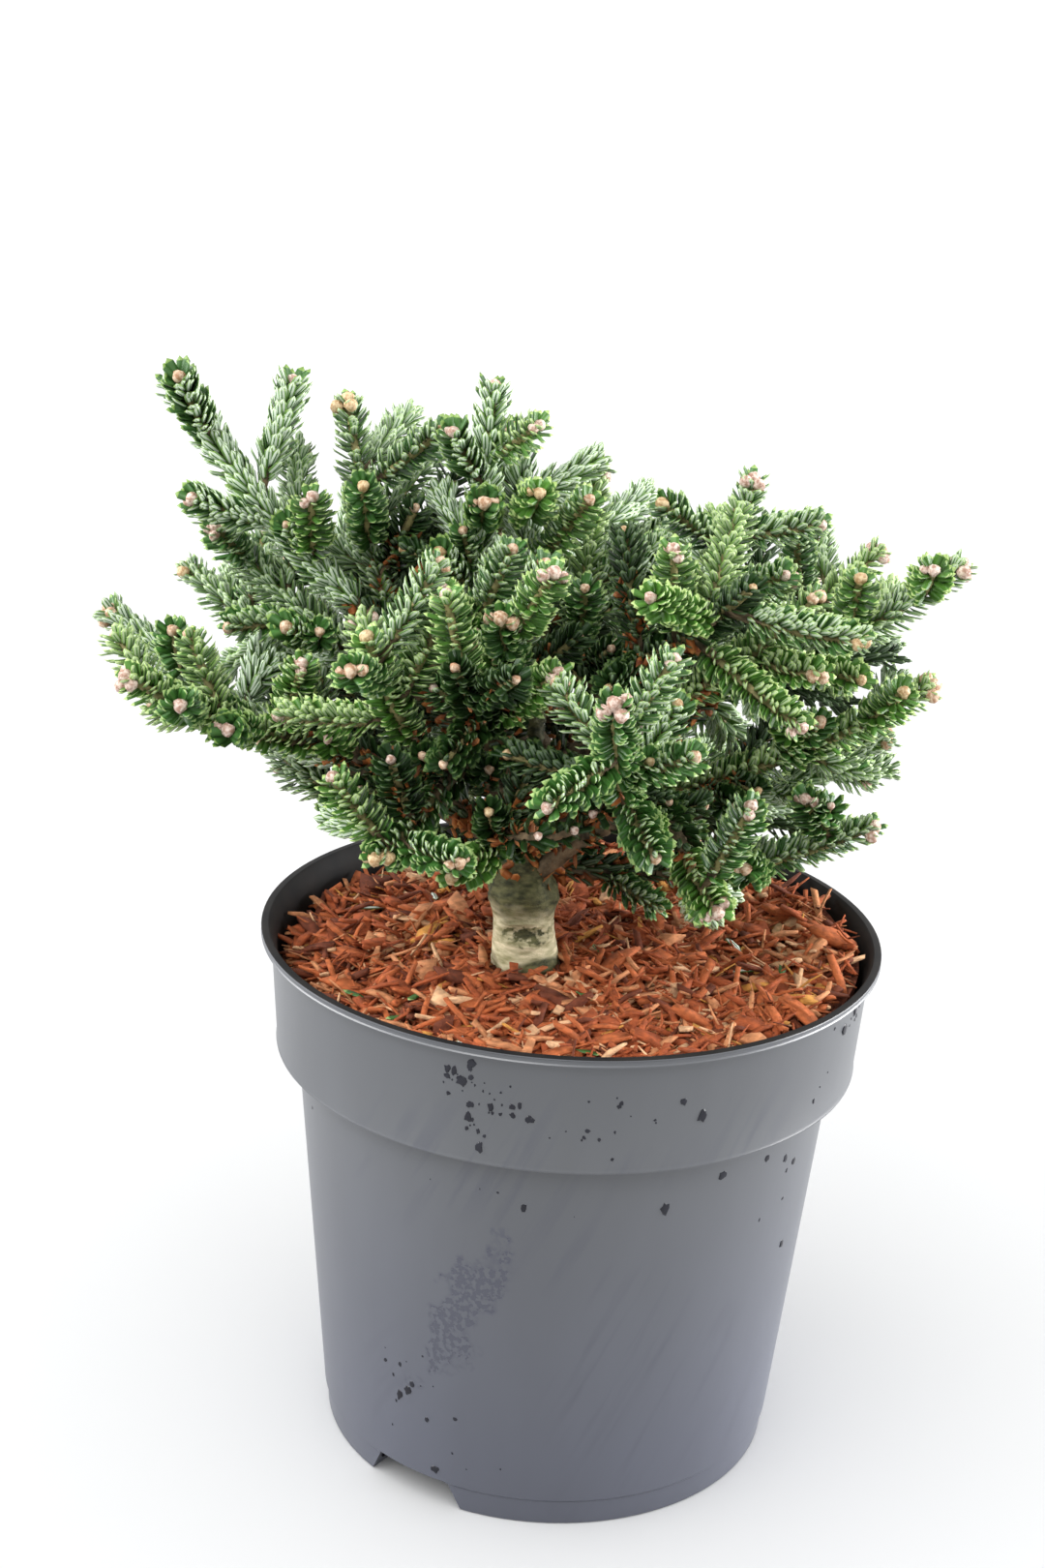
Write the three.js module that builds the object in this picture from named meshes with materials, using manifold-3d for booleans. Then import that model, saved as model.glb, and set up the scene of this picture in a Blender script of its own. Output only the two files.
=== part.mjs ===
// Dwarf Korean fir in a round nursery pot, in millimetres, +Z up.
// The origin is on the pot's axis at the ground; -Y is the front.
import * as THREE from "three";
import { mergeVertices } from "three/addons/utils/BufferGeometryUtils.js";
import Module from "manifold-3d";

const wasm = await Module();
wasm.setup();

const GAP = 0.3;

// Pot
const POT_SECTORS = 32;
const FOOT_RADIUS = 64.9;
const FOOT_RING_HEIGHT = 8.4;
const BODY_TOP_RADIUS = 76;
const BAND_FOOT = 118.1;
const BAND_FOOT_RADIUS = 82;
const BAND_TOP_RADIUS = 84;
const LIP_UNDERSIDE = 149.3;
const LIP_RADIUS = 86.9;
const RIM_HEIGHT = 152.8;
const WALL = 1.5;
const FLOOR = 2.6;
const NOTCH_AZIMUTHS = [-123.2, 56.8];
const NOTCH_WIDTH = 31.5;
const NOTCH_HEIGHT = 8.6;
const NOTCH_SLANT = 0.494;
const NOTCH_DEPTH = 17;

// Bark mulch and the growing medium under it
const MULCH_SECTORS = 20;
const MULCH_EDGE = 141.6;
const MULCH_MOUND = 3.4;
const MULCH_RINGS = [81.3, 70, 58, 45, 32, 19, 8];
const CHIPS = 7;

// Trunk: centre line from the mulch to the tip, radii and root flare
const TRUNK_FOOT = [-12, -13, 143.5];
const TRUNK_WAIST = [-17.5, 2.8, 192.4];
const TRUNK_TIP = [-14, 2, 243];
const TRUNK_RADIUS = 8.6;
const TRUNK_TIP_RADIUS = 3;
const ROOT_FLARE = 1.4;
const BOUGH_TIP_RADIUS = 1.9;

// Foliage: brush of needles round each shoot
const REACH = 6.2;
const SHANK = 3.2;
const SHANK_SHARE = 0.16;
const CORE = 3.2;
const NEEDLE_LEAN = 4.6;
const TWIST = 52;
const LEVEL = 10.4;
const BUD = 2.4;
const SAG = 0.12;
const LIFT = 0.28;

// Boughs: name, limb it grows from, how far along it, then its tip: azimuth, reach, height;
// last the radius at its root.
const BOUGHS = [
  ["upper_left", "trunk", 0.41, -176.3, 60.5, 242, 5],
  ["top_left", "upper_left", 0.68, 173.5, 55.6, 239.2, 2.7],
  ["mid_left", "upper_left", 0.45, -177.5, 54, 224.3, 2.3],
  ["left", "trunk", 0.33, -173.7, 63.9, 198.7, 3.7],
  ["front_left", "left", 0.55, -162.6, 75, 209.9, 2.5],
  ["back_left", "trunk", 0.64, 155.3, 56.1, 207.3, 3.1],
  ["low_left", "trunk", 0.33, -131, 54.3, 205.8, 2.8],
  ["upright_left", "low_left", 0.7, -134, 60.2, 216.4, 1.7],
  ["under_left", "trunk", 0.22, 170.8, 35.6, 172.3, 3],
  ["crest_left", "trunk", 0.9, -176.8, 33.3, 234.1, 2.8],
  ["crest_right", "trunk", 0.82, -128.3, 3.8, 229.9, 2.8],
  ["top_right", "trunk", 0.35, -1.7, 28, 225.6, 3.6],
  ["inner_right", "top_right", 0.52, -64.6, 20, 234.3, 2.3],
  ["upper_right", "top_right", 0.58, -7.3, 46.6, 231.7, 2.5],
  ["shoulder_right", "trunk", 0.52, -45.1, 28.7, 224.3, 2.8],
  ["back_right_high", "trunk", 0.73, 51.7, 43.2, 211.7, 3.1],
  ["right", "trunk", 0.68, 9.7, 14.4, 190.7, 3.3],
  ["back_right", "trunk", 0.48, 17.7, 36.4, 185, 3.1],
  ["low_right", "trunk", 0.3, 16.3, 24, 166.9, 2.8],
  ["under_right", "trunk", 0.23, -54.7, 48.4, 192.5, 2.5],
  ["front_right", "trunk", 0.49, -73.7, 42, 206.8, 3],
  ["rear_left", "trunk", 0.42, 137.9, 45, 194.9, 3.3],
  ["rear_centre", "trunk", 0.55, 120.6, 35.6, 214.2, 3.1],
  ["rear_right", "trunk", 0.47, 75.4, 36.6, 205, 3.3],
];

// Foliage masses: name, limb, how far along it, the tip of the leader: azimuth, reach, height;
// then bare stem, side shoots, their spread in degrees, their length and the seed.
const MASSES = [
  ["crest", "trunk", 1, 149.7, 25.9, 289.4, 10.8, 5, 78, 26, 30307],
  ["upper_left", "trunk", 0.41, -176.1, 111.6, 301.5, 4, 7, 50, 27, 9293],
  ["top_left", "upper_left", 0.68, 167.9, 69.4, 293.9, 4, 8, 64, 32, 30139],
  ["mid_left", "upper_left", 0.45, 171.4, 109, 262.4, 3, 8, 64, 22, 9391],
  ["left", "trunk", 0.33, 179.2, 129.9, 235.7, 3, 7, 64, 22, 32225],
  ["front_left", "left", 0.55, -156, 126, 234.1, 3, 7, 64, 22, 28186],
  ["back_left", "trunk", 0.64, 153.2, 132.8, 233.5, 4, 7, 64, 22, 35263],
  ["low_left", "trunk", 0.33, -127, 82.3, 195.2, 2, 5, 78, 26, 12478],
  ["upright_left", "low_left", 0.7, -132.4, 80.3, 250, 8, 5, 64, 27, 9181],
  ["under_left", "trunk", 0.22, 174.2, 89.6, 199.3, 3, 7, 50, 24, 29614],
  ["crest_left", "trunk", 0.9, 176.8, 28.5, 302, 5, 8, 64, 22, 3119],
  ["crest_right", "trunk", 0.82, 92.3, 26.9, 275.5, 4, 8, 64, 22, 34192],
  ["top_right", "trunk", 0.35, 10.4, 42.2, 280.3, 4, 8, 64, 22, 3007],
  ["inner_right", "top_right", 0.52, -46, 57.7, 263.7, 3, 8, 64, 32, 31336],
  ["upper_right", "top_right", 0.58, 0, 97.7, 262.2, 3, 6, 64, 22, 781],
  ["shoulder_right", "trunk", 0.52, -24.4, 63.8, 258.3, 3, 7, 50, 24, 28641],
  ["back_right_high", "trunk", 0.73, 30.9, 94.9, 253.1, 4, 7, 78, 26, 12632],
  ["right", "trunk", 0.68, -7.1, 92.2, 231.8, 3, 7, 50, 24, 31602],
  ["back_right", "trunk", 0.48, 7.9, 83.9, 210.3, 3, 7, 50, 30, 17315],
  ["low_right", "trunk", 0.3, -3.4, 80.4, 188.8, 3, 5, 78, 26, 12821],
  ["under_right", "trunk", 0.23, -56.4, 66.1, 182.1, 2, 2, 78, 26, 11414],
  ["front_right", "trunk", 0.49, -86.2, 103.8, 250.7, 2, 7, 64, 27, 12912],
  ["front_centre", "trunk", 0.63, -113.6, 79, 247.9, 40.8, 7, 50, 30, 24602],
  ["front_high", "trunk", 0.75, -110.8, 61.1, 256.4, 23, 7, 50, 24, 10168],
  ["front_low", "trunk", 0.35, -107.8, 72, 210, 28.7, 6, 50, 24, 19702],
  ["front_left_high", "trunk", 0.79, -138.1, 50.6, 256.3, 30.5, 6, 64, 22, 12023],
  ["rear_left", "trunk", 0.42, 141.9, 115.3, 252.2, 4, 8, 50, 24, 25015],
  ["rear_centre", "trunk", 0.55, 108.1, 96.3, 246.7, 4, 8, 50, 30, 4309],
  ["rear_right", "trunk", 0.47, 53.3, 108.4, 236.2, 4, 8, 78, 26, 16951],
  ["rear_high", "trunk", 0.9, 80.4, 51, 260.4, 20.8, 7, 64, 22, 5527],
  ["rear_low", "trunk", 0.34, 137.1, 89.8, 197, 34.5, 6, 50, 30, 6248],
  ["rear_low_right", "trunk", 0.38, 61.1, 84, 186, 33.6, 6, 50, 30, 7158],
];

const add = (a, b, k = 1) => [a[0] + b[0] * k, a[1] + b[1] * k, a[2] + b[2] * k];
const less = (a, b) => add(a, b, -1);
const times = (a, k) => [a[0] * k, a[1] * k, a[2] * k];
const dot = (a, b) => a[0] * b[0] + a[1] * b[1] + a[2] * b[2];
const size = (a) => Math.sqrt(dot(a, a));
const unit = (a) => times(a, 1 / size(a));
const radians = (degrees) => (degrees * Math.PI) / 180;
const clamp = (value) => Math.min(1, Math.max(0, value));

function cross(a, b) {
  return [a[1] * b[2] - a[2] * b[1], a[2] * b[0] - a[0] * b[2], a[0] * b[1] - a[1] * b[0]];
}

// A point by its azimuth, its reach from the pot's axis and its height.
function place(azimuth, reach, height) {
  return [reach * Math.cos(radians(azimuth)), reach * Math.sin(radians(azimuth)), height];
}

// Numbers between 0 and 1 that a seed fixes.
function draws(seed) {
  let state = seed;
  return () => {
    state = (state * 48271) % 2147483647;
    return state / 2147483647;
  };
}

// A limb's centre line is one arc through three points.
function along([a, b, c], t) {
  return add(add(times(a, (1 - t) * (1 - t)), b, 2 * t * (1 - t)), c, t * t);
}

function heading([a, b, c], t) {
  return unit(add(times(less(b, a), 1 - t), less(c, b), t));
}

// Two directions square to a heading.
function across(direction, like = direction) {
  const side = unit(cross(direction, Math.abs(like[2]) < 0.9 ? [0, 0, 1] : [1, 0, 0]));
  return [side, cross(direction, side)];
}

// The shortest distance between two straight pieces.
function apart(a, b, c, d) {
  const first = less(b, a);
  const second = less(d, c);
  const offset = less(a, c);
  const aa = dot(first, first);
  const bb = dot(second, second);
  const ab = dot(first, second);
  const ao = dot(first, offset);
  const bo = dot(second, offset);
  const spread = aa * bb - ab * ab;
  let s = spread > 1e-9 ? clamp((ab * bo - ao * bb) / spread) : 0;
  let t = (ab * s + bo) / bb;
  if (t < 0) {
    t = 0;
    s = clamp(-ao / aa);
  } else if (t > 1) {
    t = 1;
    s = clamp((ab - ao) / aa);
  }
  return size(less(add(a, first, s), add(c, second, t)));
}

// Straight pieces of a centre line, each with the radius of the space it keeps.
function pieces(owner, curve, from, to, count, radius) {
  return Array.from({ length: count }, (_, i) => {
    const t = from + ((to - from) * i) / count;
    const next = from + ((to - from) * (i + 1)) / count;
    return { owner, a: along(curve, t), b: along(curve, next), r: radius(t) };
  });
}

function trunkRadius(t) {
  return TRUNK_RADIUS + (TRUNK_TIP_RADIUS - TRUNK_RADIUS) * t + ROOT_FLARE * Math.exp(-8 * t);
}

// A leader runs out from its limb and rises to its tip.
function leaderLine(base, tip) {
  const middle = times(add(base, tip), 0.5);
  return [base, [middle[0], middle[1], middle[2] - SAG * size(less(tip, base))], tip];
}

// Trunk, boughs and the leaders of the masses, and the space that each one keeps.
function frameOf(boughs, masses) {
  const lines = { trunk: [TRUNK_FOOT, TRUNK_WAIST, TRUNK_TIP] };
  const kept = pieces("trunk", lines.trunk, 0, 1, 8, trunkRadius);
  const leaders = masses.map(([name, host, at, azimuth, reach, height, bare]) => {
    const tip = place(azimuth, reach, height);
    const bough = boughs.find((row) => row[0] === name);
    let base = along(lines[host], at);
    if (bough) {
      const [, , , boughAzimuth, boughReach, boughHeight, radius] = bough;
      const root = base;
      const end = place(boughAzimuth, boughReach, boughHeight);
      const leader = leaderLine(end, tip);
      const bend = add(end, heading(leader, 0), -0.42 * size(less(end, root)));
      lines[name] = [root, bend, end];
      const taper = (t) => radius + (BOUGH_TIP_RADIUS - radius) * t;
      kept.push(...pieces(name, lines[name], 0.1, 1, 4, taper));
      base = add(end, heading(leader, 0), GAP);
    }
    const line = leaderLine(base, tip);
    const reachOfLine = size(less(tip, base));
    const clothed = Math.min(0.7, (bare + 2) / reachOfLine);
    return { name, host: bough ? name : host, line, clothed, reachOfLine };
  });
  leaders.forEach(({ name, line, clothed }) => {
    kept.push(...pieces(name + "+", line, 0, clothed, 1, () => 2.2));
    kept.push(...pieces(name + "+", line, clothed, 1, 3, () => REACH));
  });
  return { lines, kept, leaders };
}

// The side shoots of a leader: a seeded turn, then the golden angle with some play.
function sideShoots(leader, bare, count, spread, length, seed) {
  const draw = draws(seed);
  const turn = 360 * draw();
  const first = Math.min(0.7, (bare + 3) / leader.reachOfLine);
  return Array.from({ length: count }, (_, i) => {
    const at = first + ((0.86 - first) * (i + 0.9 * draw())) / count;
    const round = radians(turn + 137.5 * i + 70 * (draw() - 0.5));
    const lean = radians(spread + 30 * (draw() - 0.5));
    const run = length * (0.8 + 0.4 * draw());
    const root = along(leader.line, at);
    const ahead = heading(leader.line, at);
    const [side, other] = across(ahead);
    const out = add(times(side, Math.cos(round)), other, Math.sin(round));
    const way = add(times(ahead, Math.cos(lean)), out, Math.sin(lean));
    const middle = add(root, way, 0.5 * run);
    const tip = add(middle, unit([way[0], way[1], way[2] + LIFT]), 0.5 * run);
    return [root, middle, tip];
  });
}

// The space of a side shoot: a slim shank, then the full brush.
function spaceOf(owner, line) {
  return [
    ...pieces(owner, line, 0, 0.35, 1, () => SHANK),
    ...pieces(owner, line, 0.35, 0.68, 1, () => REACH),
    ...pieces(owner, line, 0.68, 1, 1, () => REACH),
  ];
}

// True where nothing but the shoot's own mass, and at its shank its own limb, is in its way.
function hasRoom(space, mass, host, kept) {
  return space.every((piece) =>
    kept.every(
      (other) =>
        other.owner === mass ||
        (other.owner === host && piece.r === SHANK) ||
        apart(piece.a, piece.b, other.a, other.b) >= piece.r + other.r + GAP,
    ),
  );
}

// A closed solid from a geometry, with its vertices merged and its empty faces dropped.
function solidOf(geometry) {
  const bare = new THREE.BufferGeometry();
  const loose = geometry.index ? geometry.toNonIndexed() : geometry;
  bare.setAttribute("position", loose.getAttribute("position"));
  const merged = mergeVertices(bare, 1e-3);
  const kept = [];
  for (let i = 0; i < merged.index.count; i += 3) {
    const face = [0, 1, 2].map((k) => merged.index.getX(i + k));
    if (new Set(face).size === 3) {
      kept.push(...face);
    }
  }
  const vertProperties = new Float32Array(merged.getAttribute("position").array);
  const triVerts = new Uint32Array(kept);
  return new wasm.Manifold(new wasm.Mesh({ numProp: 3, vertProperties, triVerts }));
}

function solidOfFaces(points, faces) {
  const vertProperties = new Float32Array(points.flat());
  const triVerts = new Uint32Array(faces.flat());
  return new wasm.Manifold(new wasm.Mesh({ numProp: 3, vertProperties, triVerts }));
}

const fused = (solids) => solids.reduce((sum, solid) => sum.add(solid));

// The largest body of a solid: a scrap is dropped and a hollow sealed by fusing is filled.
function whole(solid) {
  return solid.decompose().sort((a, b) => b.volume() - a.volume())[0];
}

// A tapered limb with flat ends, and a radius that may swell at its foot.
function limb(line, from, to, steps, sides, radius) {
  const points = [];
  const faces = [];
  for (let k = 0; k <= steps; k++) {
    const t = from + ((to - from) * k) / steps;
    const centre = along(line, t);
    const [side, other] = across(heading(line, t), heading(line, 0.5));
    for (let i = 0; i < sides; i++) {
      const turn = (2 * Math.PI * i) / sides;
      const r = radius(t, turn);
      points.push(add(add(centre, side, r * Math.cos(turn)), other, r * Math.sin(turn)));
    }
  }
  for (let k = 0; k < steps; k++) {
    for (let i = 0; i < sides; i++) {
      const a = k * sides + i;
      const b = k * sides + ((i + 1) % sides);
      faces.push([a, b, b + sides], [a, b + sides, a + sides]);
    }
  }
  const top = steps * sides;
  for (let i = 1; i < sides - 1; i++) {
    faces.push([0, i + 1, i], [top, top + i, top + i + 1]);
  }
  return solidOfFaces(points, faces);
}

// A shoot: a bare three-sided shank, then a slim core with a tooth standing out of each facet.
function brush(line, bare, rootRadius) {
  const run = size(less(line[2], line[0])) * (1 - bare);
  const levels = Math.max(3, Math.round(run / LEVEL));
  const points = [];
  const faces = [];
  const spot = (t, degrees, radius, ahead) => {
    const way = heading(line, t);
    const [side, other] = across(way, heading(line, 0.5));
    const turn = radians(degrees);
    const out = add(times(side, Math.cos(turn)), other, Math.sin(turn));
    const parted = 1 - 0.3 * Math.max(0, -out[2]) * (1 - Math.abs(way[2]));
    return add(add(along(line, t), out, radius * (ahead ? parted : 1)), way, ahead);
  };
  const ring = (t, degrees, radius) => {
    for (let i = 0; i < 3; i++) {
      points.push(spot(t, degrees + 120 * i, radius, 0));
    }
  };
  ring(0, 0, rootRadius);
  for (let k = 0; k <= levels; k++) {
    const radius = k === 0 ? 0.6 * CORE : k === levels ? 0.7 * CORE : CORE;
    ring(bare + ((1 - bare) * k) / levels, TWIST * k, radius);
  }
  for (let k = 0; k <= levels; k++) {
    const t = bare + ((1 - bare) * (k - 0.5)) / levels;
    const reach = k === levels ? 0.8 * REACH : REACH;
    for (let i = 0; i < 3; i++) {
      const a = 3 * k + i;
      const b = 3 * k + ((i + 1) % 3);
      if (k === 0) {
        faces.push([a, b, b + 3], [a, b + 3, a + 3]);
      } else {
        const tip = points.length;
        points.push(spot(t, TWIST * (k - 0.5) + 120 * i + 60, reach, NEEDLE_LEAN));
        faces.push([a, b, tip], [b, b + 3, tip], [b + 3, a + 3, tip], [a + 3, a, tip]);
      }
    }
  }
  const bud = points.length;
  points.push(spot(1, 0, 0, BUD));
  const end = 3 * (levels + 1);
  faces.push([0, 2, 1]);
  for (let i = 0; i < 3; i++) {
    faces.push([end + i, end + ((i + 1) % 3), bud]);
  }
  return solidOfFaces(points, faces);
}

// A turned solid from its outline in reach and height, from axis to axis.
function turned(outline, sectors) {
  const profile = outline.map(([reach, height]) => new THREE.Vector2(reach, height));
  const geometry = new THREE.LatheGeometry(profile, sectors);
  return solidOf(geometry.rotateX(Math.PI / 2));
}

// A block with slanted ends across the foot of the wall, from one reach out to another.
function notchBlock(azimuth, from, to, bottom, top, grow) {
  const half = (height) => NOTCH_WIDTH / 2 - NOTCH_SLANT * height + grow;
  const shape = new THREE.Shape([
    new THREE.Vector2(-half(bottom), bottom),
    new THREE.Vector2(half(bottom), bottom),
    new THREE.Vector2(half(top), top),
    new THREE.Vector2(-half(top), top),
  ]);
  const geometry = new THREE.ExtrudeGeometry(shape, { depth: to - from, bevelEnabled: false });
  geometry.rotateX(Math.PI / 2);
  geometry.translate(0, -from, 0);
  return solidOf(geometry.rotateZ(radians(azimuth + 90)));
}

// A solid without what reaches below a height.
function cutBelow(solid, height) {
  const block = new THREE.BoxGeometry(80, 80, 60).translate(TRUNK_FOOT[0], TRUNK_FOOT[1], height - 30);
  return solid.subtract(solidOf(block));
}

function pot() {
  const shell = turned(
    [
      [0, 0],
      [FOOT_RADIUS, 0],
      [FOOT_RADIUS + 0.6, FOOT_RING_HEIGHT],
      [FOOT_RADIUS + 1.2, FOOT_RING_HEIGHT + 0.5],
      [BODY_TOP_RADIUS, BAND_FOOT - 0.9],
      [BODY_TOP_RADIUS + 1, BAND_FOOT],
      [BAND_FOOT_RADIUS, BAND_FOOT],
      [BAND_TOP_RADIUS, LIP_UNDERSIDE - 0.2],
      [LIP_RADIUS, LIP_UNDERSIDE],
      [LIP_RADIUS, RIM_HEIGHT - 0.8],
      [LIP_RADIUS - 0.9, RIM_HEIGHT],
      [LIP_RADIUS - 2.2, RIM_HEIGHT],
      [BAND_TOP_RADIUS - WALL, LIP_UNDERSIDE - 1.5],
      [BAND_FOOT_RADIUS - WALL, BAND_FOOT + 1.6],
      [BODY_TOP_RADIUS - WALL, BAND_FOOT - 1.4],
      [FOOT_RADIUS - 0.7, FLOOR + 2],
      [FOOT_RADIUS - 2.4, FLOOR],
      [0, FLOOR],
    ],
    POT_SECTORS,
  );
  const inner = FOOT_RADIUS - NOTCH_DEPTH;
  const inside = turned([[0, 0.4], [FOOT_RADIUS - 0.5, 0.4], [FOOT_RADIUS, 14], [0, 14]], POT_SECTORS);
  const housing = (azimuth) =>
    notchBlock(azimuth, inner - WALL, LIP_RADIUS, 0.2, NOTCH_HEIGHT + WALL, 1.6).intersect(inside);
  return NOTCH_AZIMUTHS.reduce(
    (made, azimuth) =>
      made
        .add(housing(azimuth))
        .subtract(notchBlock(azimuth, inner, LIP_RADIUS, -1, NOTCH_HEIGHT, 0)),
    shell,
  );
}

function mulch() {
  const draw = draws(7129);
  const sides = [
    [FOOT_RADIUS - 2.7, FLOOR + GAP],
    [FOOT_RADIUS - 1.4, FLOOR + 2.4],
    [BODY_TOP_RADIUS - WALL - 0.7, BAND_FOOT - 0.9],
    [BAND_FOOT_RADIUS - WALL - 0.8, BAND_FOOT + 2.2],
  ];
  const level = (reach) => MULCH_EDGE + MULCH_MOUND * (1 - (reach / 82) ** 2);
  const points = [];
  const ring = (reach, height) => {
    for (let i = 0; i < MULCH_SECTORS; i++) {
      points.push(place((360 * i) / MULCH_SECTORS, reach, height()));
    }
  };
  sides.forEach(([reach, height]) => ring(reach, () => height));
  MULCH_RINGS.forEach((reach) => ring(reach, () => level(reach) + 2.4 * (draw() - 0.5)));
  const rings = sides.length + MULCH_RINGS.length;
  const faces = [];
  for (let k = 0; k < rings - 1; k++) {
    for (let i = 0; i < MULCH_SECTORS; i++) {
      const a = k * MULCH_SECTORS + i;
      const b = k * MULCH_SECTORS + ((i + 1) % MULCH_SECTORS);
      const up = MULCH_SECTORS;
      faces.push([a, b, b + up], [a, b + up, a + up]);
    }
  }
  points.push([0, 0, FLOOR + GAP], [0, 0, level(0)]);
  const top = (rings - 1) * MULCH_SECTORS;
  const centre = rings * MULCH_SECTORS;
  for (let i = 0; i < MULCH_SECTORS; i++) {
    const next = (i + 1) % MULCH_SECTORS;
    faces.push([centre, next, i], [centre + 1, top + i, top + next]);
  }
  const chips = Array.from({ length: CHIPS }, (_, i) => {
    const geometry = new THREE.BoxGeometry(11 + 9 * draw(), 3 + 2.4 * draw(), 1.5);
    geometry.rotateX(0.5 * (draw() - 0.5)).rotateY(0.4 * (draw() - 0.5));
    geometry.rotateZ(Math.PI * draw());
    const reach = 30 + 40 * Math.sqrt(draw());
    geometry.translate(...place(137.5 * i, reach, level(reach) + 1.1));
    return solidOf(geometry);
  });
  const trunkLine = [TRUNK_FOOT, TRUNK_WAIST, TRUNK_TIP];
  const space = cutBelow(limb(trunkLine, -0.08, 0.12, 2, 12, (t) => trunkRadius(t) + 0.9), TRUNK_FOOT[2] - GAP);
  return NOTCH_AZIMUTHS.reduce(
    (made, azimuth) =>
      made.subtract(
        notchBlock(
          azimuth,
          FOOT_RADIUS - NOTCH_DEPTH - WALL - GAP,
          LIP_RADIUS,
          0,
          NOTCH_HEIGHT + WALL + GAP,
          1.6 + 2 * GAP,
        ),
      ),
    fused([solidOfFaces(points, faces), ...chips]).subtract(space),
  );
}

const group = new THREE.Group();

function node(name, solid, colour, roughness) {
  const mesh = solid.getMesh();
  const geometry = new THREE.BufferGeometry();
  geometry.setAttribute("position", new THREE.BufferAttribute(mesh.vertProperties, 3));
  geometry.setIndex(new THREE.BufferAttribute(mesh.triVerts, 1));
  const made = new THREE.Mesh(
    geometry,
    new THREE.MeshStandardMaterial({ color: colour, roughness, flatShading: true }),
  );
  made.name = name;
  group.add(made);
}

node("pot", pot(), 0x2c2d31, 0.5);
node("mulch", whole(mulch()), 0x8a4a2c, 0.95);

// Trunk, with a shallow ridge in the bark at every other corner
const { lines, kept, leaders } = frameOf(BOUGHS, MASSES);
const trunkSkin = (grow) => (t, turn) =>
  (trunkRadius(t) + grow) * (grow ? 1 : 1 - 0.04 * Math.abs(Math.sin(2.5 * turn + 5 * t)));
const trunk = cutBelow(limb(lines.trunk, -0.08, 1, 9, 10, trunkSkin(0)), TRUNK_FOOT[2]);
node("trunk", trunk, 0x6f6a55, 0.9);
const trunkSpace = limb(lines.trunk, -0.08, 1.004, 9, 10, trunkSkin(GAP + 0.15));

const spaces = { trunk: trunkSpace };
const clearOfAll = (solid) => Object.values(spaces).reduce((left, space) => left.subtract(space), solid);
BOUGHS.forEach(([name, , , , , , radius]) => {
  const taper = (grow) => (t) => radius + (BOUGH_TIP_RADIUS - radius) * t + grow;
  const bough = clearOfAll(limb(lines[name], 0, 1, 3, 4, taper(0)));
  spaces[name] = limb(lines[name], 0, 1, 3, 4, taper(GAP + 0.15));
  node("bough_" + name, whole(bough), 0x6b5f4b, 0.9);
});

// Foliage: one mass on each leader
MASSES.forEach(([name, host, , , , , bare, count, spread, length, seed], i) => {
  const leader = leaders[i];
  const clothed = Math.max(0.02, leader.clothed - 4 / leader.reachOfLine);
  const onTrunk = leader.host === "trunk";
  const shoots = sideShoots(leader, bare, count, spread, length, seed).filter((line) => {
    const space = spaceOf(name + "+", line);
    const room = hasRoom(space, name + "+", leader.host, kept);
    if (room) {
      kept.push(...space);
    }
    return room;
  });
  const stem = brush(leader.line, clothed, onTrunk ? 2.8 : BOUGH_TIP_RADIUS);
  const mass = fused([stem, ...shoots.map((line) => brush(line, SHANK_SHARE, 1.3))]);
  node(
    "foliage_" + name,
    whole(onTrunk ? mass.subtract(trunkSpace) : mass),
    0x3f7a3a,
    0.6,
  );
});

export default group;
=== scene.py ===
# A dwarf Korean fir in its nursery pot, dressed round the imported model: metres, +Z up, -Y front.
import math

import bmesh
import bpy
import numpy as np
from mathutils import Matrix, Vector, noise


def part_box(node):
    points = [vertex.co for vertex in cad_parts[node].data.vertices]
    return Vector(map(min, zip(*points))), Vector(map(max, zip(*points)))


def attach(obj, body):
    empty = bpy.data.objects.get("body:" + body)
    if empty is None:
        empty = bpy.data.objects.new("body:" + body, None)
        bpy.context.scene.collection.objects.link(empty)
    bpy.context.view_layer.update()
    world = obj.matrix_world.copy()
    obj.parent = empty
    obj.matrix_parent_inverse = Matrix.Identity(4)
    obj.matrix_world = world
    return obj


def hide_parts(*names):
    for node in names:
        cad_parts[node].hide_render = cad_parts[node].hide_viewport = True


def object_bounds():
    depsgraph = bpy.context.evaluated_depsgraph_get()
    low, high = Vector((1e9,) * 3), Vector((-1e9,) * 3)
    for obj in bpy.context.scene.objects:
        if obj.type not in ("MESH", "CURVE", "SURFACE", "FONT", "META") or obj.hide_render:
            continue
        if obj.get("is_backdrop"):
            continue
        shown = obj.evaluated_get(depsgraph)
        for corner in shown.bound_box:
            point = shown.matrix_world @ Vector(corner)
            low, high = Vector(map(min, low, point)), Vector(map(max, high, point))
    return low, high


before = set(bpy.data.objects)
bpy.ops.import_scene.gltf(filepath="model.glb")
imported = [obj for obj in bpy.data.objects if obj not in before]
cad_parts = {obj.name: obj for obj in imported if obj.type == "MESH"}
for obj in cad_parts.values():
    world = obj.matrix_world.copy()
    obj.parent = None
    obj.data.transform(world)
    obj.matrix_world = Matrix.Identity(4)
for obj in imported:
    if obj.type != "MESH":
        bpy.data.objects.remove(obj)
cad_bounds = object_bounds()

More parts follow.
